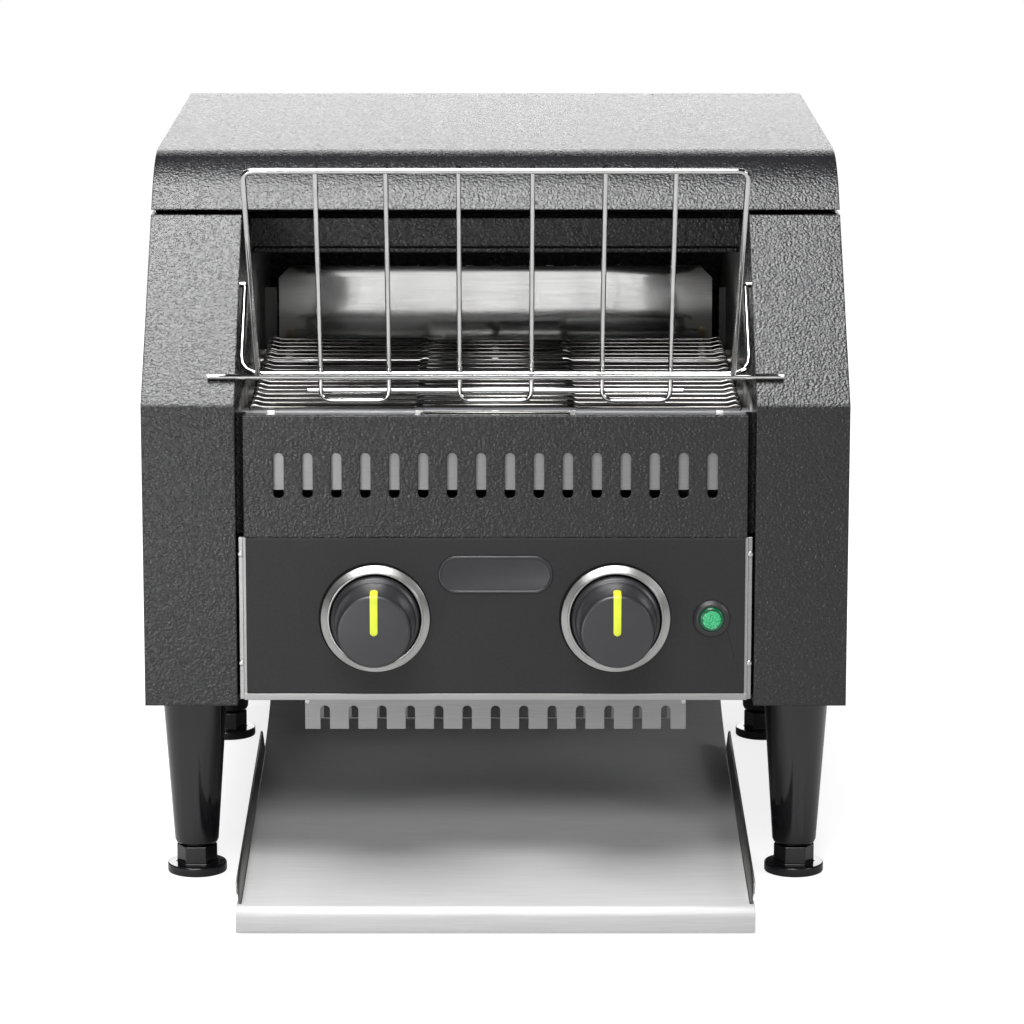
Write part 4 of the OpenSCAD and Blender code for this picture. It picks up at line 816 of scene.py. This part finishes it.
def build_lamp():
    """Indicator lamp: a black bezel, and a green lens that is darker outside its disc."""
    node = "indicator_bezel"
    base, radius, out = round_part(node)
    shank = radius - BEZEL_SHANK_IN
    bm = bmesh.new()
    lathe(bm, fillet([
        (BEZEL_BORE_R, -2), (shank, -2), (shank, 0), (radius, 0), (radius, 0.9, 0.5),
        (radius - 2.2, out, 0.8), (BEZEL_BORE_R + 0.2, out, 0.4), (BEZEL_BORE_R, out - 0.9),
        (BEZEL_BORE_R, -2),
    ], 5), base, OUT, 96)
    add_piece("lamp_bezel", bm, node)
    bm = bmesh.new()
    lathe(bm, fillet([
        (0, -1), (LENS_R, -1), (LENS_R, 3.3, 1.2), (4.9, 3.6, 0.4),
        (4.7, 3.2), (4.2, 3.35), (0, 3.55),
    ], 6), base, OUT, 96)
    add_piece("lamp_lens", bm, "indicator_lens", smooth=40)
    middle = centre(node) / MM
    second_look(
        "lamp_lens", LOOKS["green_rim"],
        lambda x, depth, z: math.hypot(x - middle.x, z - middle.z) > LENS_DISC_R,
    )


# ---- Belt ----

BELT_PITCH = 12.7
BELT_STEPS = 17
END_STEPS = 3
BELT_WIRE_R = 0.8
JOINT_X = 40
EDGE_X = 121.5
BELT_HALF = 129.0


def belt_point(x, step, lift):
    """A point on the belt's loop: step counts wires from the front of the top run.

    The sprockets' radius is one pitch, so one value gives both.
    """
    axis = centre("front_shaft")
    radius = BELT_PITCH * MM
    length = BELT_STEPS * radius
    step = step % (2 * (BELT_STEPS + END_STEPS))
    reach = radius + lift * MM
    if step <= BELT_STEPS:
        return Vector((x * MM, axis.y + step * radius, axis.z + reach))
    if step <= BELT_STEPS + END_STEPS:
        a = math.pi / 2 - math.pi * (step - BELT_STEPS) / END_STEPS
        return Vector((x * MM, axis.y + length + reach * math.cos(a), axis.z + reach * math.sin(a)))
    if step <= 2 * BELT_STEPS + END_STEPS:
        gone = (step - BELT_STEPS - END_STEPS) * radius
        return Vector((x * MM, axis.y + length - gone, axis.z - reach))
    a = -math.pi / 2 - math.pi * (step - 2 * BELT_STEPS - END_STEPS) / END_STEPS
    return Vector((x * MM, axis.y + reach * math.cos(a), axis.z + reach * math.sin(a)))


def build_belt():
    """Each wire runs across, steps back half a pitch at its joints and hooks down at its ends."""
    # Half of one wire, as (across, steps back, height over the belt's middle).
    side = [
        (0, 0, 0), (JOINT_X - 2.6, 0, 0), (JOINT_X - 1.2, 0.1, 0.3), (JOINT_X, 0.25, 0.45),
        (JOINT_X + 1.2, 0.4, 0.3), (JOINT_X + 2.6, 0.5, 0),
        (EDGE_X, 0.5, 0), (EDGE_X + 1.8, 0.5, 0.45), (EDGE_X + 4.0, 0.5, 1.1),
        (BELT_HALF - 1.6, 0.5, 1.0), (BELT_HALF - 0.8, 0.5, 0.3),
        (BELT_HALF - 0.9, 0.5, -0.6), (BELT_HALF - 1.8, 0.5, -1.2),
    ]
    path = [(-x, s, h) for x, s, h in reversed(side[1:])] + side
    bm = bmesh.new()
    for wire in range(2 * (BELT_STEPS + END_STEPS)):
        points = [belt_point(x, wire + 0.5 - s, h) for x, s, h in path]
        tube(bm, points, BELT_WIRE_R * MM, 8)
    add_piece("wire_belt", bm, "conveyor_belt", smooth=50)


# ---- Tray ----

TRAY_SLOPE = math.radians(3.42)
TRAY_TOP_Z = 14.4
TRAY_CURVE_D = 185
TRAY_CURVE_R = 362
TRAY_HALF = 131.5
TRAY_T = 1.2
TRAY_WALL = 11
TRAY_FLARE = math.tan(math.radians(6))
LIP_R = 4.6
LIP_OVER = 1.8
LIP_REACH = 5
TRAY_EAR_REACH = 36


def tray_line():
    """(depth, height) of the floor from the front lip's hem to the rear end."""
    low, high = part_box("toast_tray")
    front = (low.y - FRONT) / MM + TRAY_T / 2
    hem = low.z / MM + TRAY_T / 2
    rear = (high.y - FRONT) / MM
    line = [
        (front + 2.2, hem + 0.9), (front + 1.2, hem + 0.15), (front + 0.3, hem + 0.3),
        (front + 0.05, hem + 1.4),
    ]
    turn_c = (front + LIP_R, TRAY_TOP_Z - LIP_R + LIP_R * math.tan(TRAY_SLOPE))
    for k in range(10):
        a = math.pi - (math.pi / 2 - TRAY_SLOPE) * k / 9
        line.append((turn_c[0] + LIP_R * math.cos(a), turn_c[1] + LIP_R * math.sin(a)))
    curve_z = TRAY_TOP_Z + (TRAY_CURVE_D - front) * math.tan(TRAY_SLOPE)
    for depth in (-40, 20, 80, 140, TRAY_CURVE_D - 10):
        line.append((depth, curve_z - (TRAY_CURVE_D - depth) * math.tan(TRAY_SLOPE)))
    start = TRAY_SLOPE
    end = math.asin(math.sin(TRAY_SLOPE) + (rear - TRAY_CURVE_D) / TRAY_CURVE_R)
    for k in range(15):
        a = start + (end - start) * k / 14
        line.append((
            TRAY_CURVE_D + TRAY_CURVE_R * (math.sin(a) - math.sin(start)),
            curve_z + TRAY_CURVE_R * (math.cos(start) - math.cos(a)),
        ))
    return line


def build_tray():
    """Floor with its rolled front lip, flared side walls and the ears that run in the rails."""
    line = tray_line()
    bm = bmesh.new()
    rows = []
    for depth, z in line:
        half = TRAY_HALF + LIP_OVER if depth < line[0][0] + LIP_REACH else TRAY_HALF
        rows.append([place(x * half, depth, z - TRAY_T / 2) for x in ACROSS])
    sheet(bm, rows)
    floor = add_piece("tray_floor", bm, "toast_tray", smooth=40)
    thicken(floor, TRAY_T - 0.2)
    bm = bmesh.new()
    front = line[4][0]
    # Depth, and the share of the walls' full height that they have there.
    stations = [
        (front + 6, 0.55), (front + 7, 0.75), (front + 9, 1), (front + 40, 1),
        (-20, 1), (60, 1), (140, 1), (TRAY_CURVE_D, 1),
    ]
    for side in (-1, 1):
        rows = []
        for depth, share in stations:
            foot = TRAY_TOP_Z + (depth - front) * math.tan(TRAY_SLOPE) - TRAY_T / 2
            wall = TRAY_WALL * share
            lean = wall * TRAY_FLARE
            section = (
                (0, -1.4), (0.12, -0.55), (0.5, -0.1), (1.4, 0.1),
                (wall - 0.8, lean), (wall - 0.15, lean + 0.35), (wall - 0.1, lean + 0.95),
            )
            rows.append([
                place(side * (TRAY_HALF + out), depth, foot + rise) for rise, out in section
            ])
        sheet(bm, rows)
    # The walls take the dark steel: a painted dark reflection.
    walls = add_piece(
        "tray_walls", bm, "toast_tray", replaces=False, look=LOOKS["painted_shade_steel"], smooth=60
    )
    thicken(walls, TRAY_T - 0.3)
    build_tray_ears()


def build_tray_ears():
    """Side plates that hang the tray's rear end in the rails."""
    _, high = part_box("toast_tray")
    rear = (high.y - FRONT) / MM
    top = high.z / MM
    start = rear - TRAY_EAR_REACH
    x = TRAY_HALF - TRAY_T / 2
    reach = high.x / MM
    bm = bmesh.new()
    for side in (-1, 1):
        rows = []
        for depth in (start, start + 12, start + 24, rear - 2):
            base = [z for d, z in tray_line() if d >= depth][0]
            rows.append([
                place(side * x, depth, base - TRAY_T), place(side * x, depth, top - 2.2),
                place(side * (x + 0.5), depth, top - 0.9),
                place(side * (x + 1.6), depth, top - TRAY_T / 2),
                place(side * reach, depth, top - TRAY_T / 2),
            ])
        sheet(bm, rows)
    ears = add_piece("tray_ears", bm, "toast_tray", replaces=False, smooth=60)
    thicken(ears, TRAY_T - 0.3)


# ---- Rack details ----

GRID_X = (18.7, 55.5, 91.1)
WELD_BEHIND = 2.4
WELD_BELOW = 1.6
WELD_R = 1.25
WELD_SQUASH = (1.5, 0.9, 0.7)


def put_in_order(elements, spot_of):
    """Sorts vertices or faces by place, since a sphere's come in another order at each run."""
    ranked = sorted(elements, key=lambda element: tuple(spot_of(element)))
    rank = {element: i for i, element in enumerate(ranked)}
    elements.sort(key=lambda element: rank[element])


def build_welds():
    """Small beads where the grid wires meet the rack's bars."""
    low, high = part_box("rack_grid")
    bm = bmesh.new()
    for x in GRID_X:
        for side in (-1, 1):
            spot = Vector((side * x * MM, low.y + WELD_BEHIND * MM, high.z - WELD_BELOW * MM))
            made = bmesh.ops.create_uvsphere(bm, u_segments=14, v_segments=8, radius=WELD_R * MM)
            bmesh.ops.scale(bm, vec=WELD_SQUASH, verts=made["verts"])
            bmesh.ops.translate(bm, vec=spot, verts=made["verts"])
    put_in_order(bm.verts, lambda vert: vert.co)
    put_in_order(bm.faces, lambda face: face.calc_center_median())
    add_piece("rack_welds", bm, "rack_grid", replaces=False)


# ---- Back ----

NUT_R = 12
GLAND_BORE_R = 4.2
GLAND_SHANK_R = 7.9
GLAND_DOME_R = 9
GLAND_RIBS = 12
RIB_SIZE = (1.3, 3.6, 1.0)
RIB_MIDDLE = 6.2


def build_gland():
    """Cable gland: a hexagon on each side of the panel, a ribbed dome and an open bore."""
    node = "cable_gland"
    _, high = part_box(node)
    base = Vector((centre(node).x, BACK, centre(node).z))
    out = (high.y - BACK) / MM
    bm = bmesh.new()
    corners = [math.radians(a) for a in range(0, 360, 60)]
    hexagon = [(NUT_R * math.cos(a), NUT_R * math.sin(a)) for a in corners]

    def on_back(a, b, height):
        return base + Vector((a, height, b)) * MM

    slab(bm, hexagon, on_back, 0, 4)
    slab(bm, hexagon, on_back, -6.5, -1.6)
    lathe(bm, fillet([
        (GLAND_BORE_R, -8), (GLAND_SHANK_R, -8), (GLAND_SHANK_R, 3.9), (GLAND_DOME_R, 3.9),
        (GLAND_DOME_R, 8.4, 0.8), (7.4, out, 1.2), (5.0, out, 0.4), (GLAND_BORE_R, out - 1.4),
        (GLAND_BORE_R, -8),
    ], 4), base, -OUT, 48)
    for k in range(GLAND_RIBS):
        a = 2 * math.pi * k / GLAND_RIBS
        rib = Vector((GLAND_DOME_R * math.cos(a), RIB_MIDDLE, GLAND_DOME_R * math.sin(a)))
        spot = base + rib * MM
        turn = Matrix.Rotation(-a, 3, "Y")
        made = bmesh.ops.create_cube(bm, size=MM)
        bmesh.ops.scale(bm, vec=RIB_SIZE, verts=made["verts"])
        bmesh.ops.rotate(bm, cent=(0, 0, 0), matrix=turn, verts=made["verts"])
        bmesh.ops.translate(bm, vec=spot, verts=made["verts"])
    piece = add_piece("gland_body", bm, node)
    break_edges(piece, 0.3, 30)


# ---- Stage, light and camera ----

CAMERA_BACK = 2.272
CAMERA_HEIGHT = 0.676
CAMERA_PITCH = math.radians(11.69)
CAMERA_LENS = 156.66
SENSOR_WIDTH = 36
CAMERA_SHIFT = 0.0161


def build_camera():
    """The photo's camera, solved from the straight edges in it."""
    data = bpy.data.cameras.new("camera")
    data.lens = CAMERA_LENS
    data.sensor_width = SENSOR_WIDTH
    data.shift_x = CAMERA_SHIFT
    data.clip_end = 50
    camera = bpy.data.objects.new("camera", data)
    camera.location = (0, FRONT - CAMERA_BACK, CAMERA_HEIGHT)
    camera.rotation_euler = (math.pi / 2 - CAMERA_PITCH, 0, 0)
    bpy.context.scene.collection.objects.link(camera)
    bpy.context.scene.camera = camera


def softbox(name, spot, target, width, length, radiance):
    """A rectangular lamp whose face has the given radiance."""
    data = bpy.data.lights.new(name, "AREA")
    data.shape = "RECTANGLE"
    data.size = width
    data.size_y = length
    data.energy = radiance * math.pi * width * length
    lamp = bpy.data.objects.new(name, data)
    lamp.location = spot
    lamp.rotation_euler = (Vector(target) - Vector(spot)).to_track_quat("-Z", "Y").to_euler()
    bpy.context.scene.collection.objects.link(lamp)


FLOOR_GLOW = 0.8
FLOOR_ALBEDO = 0.34
FLOOR_BOUNCE = 0.46
FLOOR_MIDDLE = -1.6
FLOOR_RADIUS = 3.4
SKY = 0.03


def build_floor():
    """White paper: it glows for the camera alone, and still takes the object's shadow."""
    bm = bmesh.new()
    bmesh.ops.create_circle(bm, cap_ends=True, segments=96, radius=FLOOR_RADIUS)
    mesh = bpy.data.meshes.new("floor")
    bm.to_mesh(mesh)
    bm.free()
    floor = bpy.data.objects.new("floor", mesh)
    floor.location.y = FLOOR_MIDDLE
    bpy.context.scene.collection.objects.link(floor)
    paper = bpy.data.materials.new("paper")
    paper.use_nodes = True
    nodes, links = paper.node_tree.nodes, paper.node_tree.links
    lit = nodes["Principled BSDF"]
    lit.inputs["Base Color"].default_value = (FLOOR_BOUNCE, FLOOR_BOUNCE, FLOOR_BOUNCE, 1)
    lit.inputs["Roughness"].default_value = 0.9
    faint = nodes.new("ShaderNodeBsdfDiffuse")
    faint.inputs["Color"].default_value = (FLOOR_ALBEDO, FLOOR_ALBEDO, FLOOR_ALBEDO, 1)
    glow = nodes.new("ShaderNodeEmission")
    glow.inputs["Strength"].default_value = FLOOR_GLOW
    both = nodes.new("ShaderNodeAddShader")
    links.new(faint.outputs["BSDF"], both.inputs[0])
    links.new(glow.outputs["Emission"], both.inputs[1])
    mix = nodes.new("ShaderNodeMixShader")
    links.new(nodes.new("ShaderNodeLightPath").outputs["Is Camera Ray"], mix.inputs["Fac"])
    links.new(lit.outputs["BSDF"], mix.inputs[1])
    links.new(both.outputs["Shader"], mix.inputs[2])
    links.new(mix.outputs["Shader"], nodes["Material Output"].inputs["Surface"])
    mesh.materials.append(paper)


# Each lamp: its place, what it faces, its width, its length and its radiance.
LAMPS = {
    "overhead": ((-0.35, -0.3, 2.5), (-0.1, 0.0, 0.3), 1.6, 1.15, 19.0),
    "key": ((-0.3, -2.3, 2.0), (0, 0, 0.1), 1.7, 1.0, 12.0),
    "backdrop": ((0, 3.2, 0.95), (0, 0, 0.4), 2.6, 0.7, 4.0),
    "right_side": ((2.0, -1.3, 1.1), (0, 0, 0.2), 0.8, 0.8, 8.0),
    "front_low": ((0, -4.5, 0.65), (0, 0, 0.3), 5.0, 1.3, 0.9),
    "front_left": ((-0.5, -1.35, 0.1), (-0.15, 0, 0.2), 0.5, 0.2, 12.0),
}


def build_stage():
    """White background for the camera, a faint sky for the rest, and the lamps."""
    build_floor()
    world = bpy.data.worlds.new("studio")
    world.use_nodes = True
    nodes, links = world.node_tree.nodes, world.node_tree.links
    nodes["Background"].inputs["Color"].default_value = (SKY, SKY, SKY, 1)
    seen = nodes.new("ShaderNodeBackground")
    seen.inputs["Color"].default_value = (1, 1, 1, 1)
    rays = nodes.new("ShaderNodeLightPath")
    mix = nodes.new("ShaderNodeMixShader")
    links.new(rays.outputs["Is Camera Ray"], mix.inputs["Fac"])
    links.new(nodes["Background"].outputs["Background"], mix.inputs[1])
    links.new(seen.outputs["Background"], mix.inputs[2])
    links.new(mix.outputs["Shader"], nodes["World Output"].inputs["Surface"])
    bpy.context.scene.world = world

    for name, lamp in LAMPS.items():
        softbox(name, *lamp)
    bpy.context.scene.view_settings.view_transform = "Standard"


build_camera()
build_stage()
build_case()
build_deflector()
build_comb()
build_badge()
build_screws()
for side in ("left", "right"):
    build_knob(side)
    build_dial(side)
build_lamp()
build_belt()
build_tray()
build_welds()
build_gland()
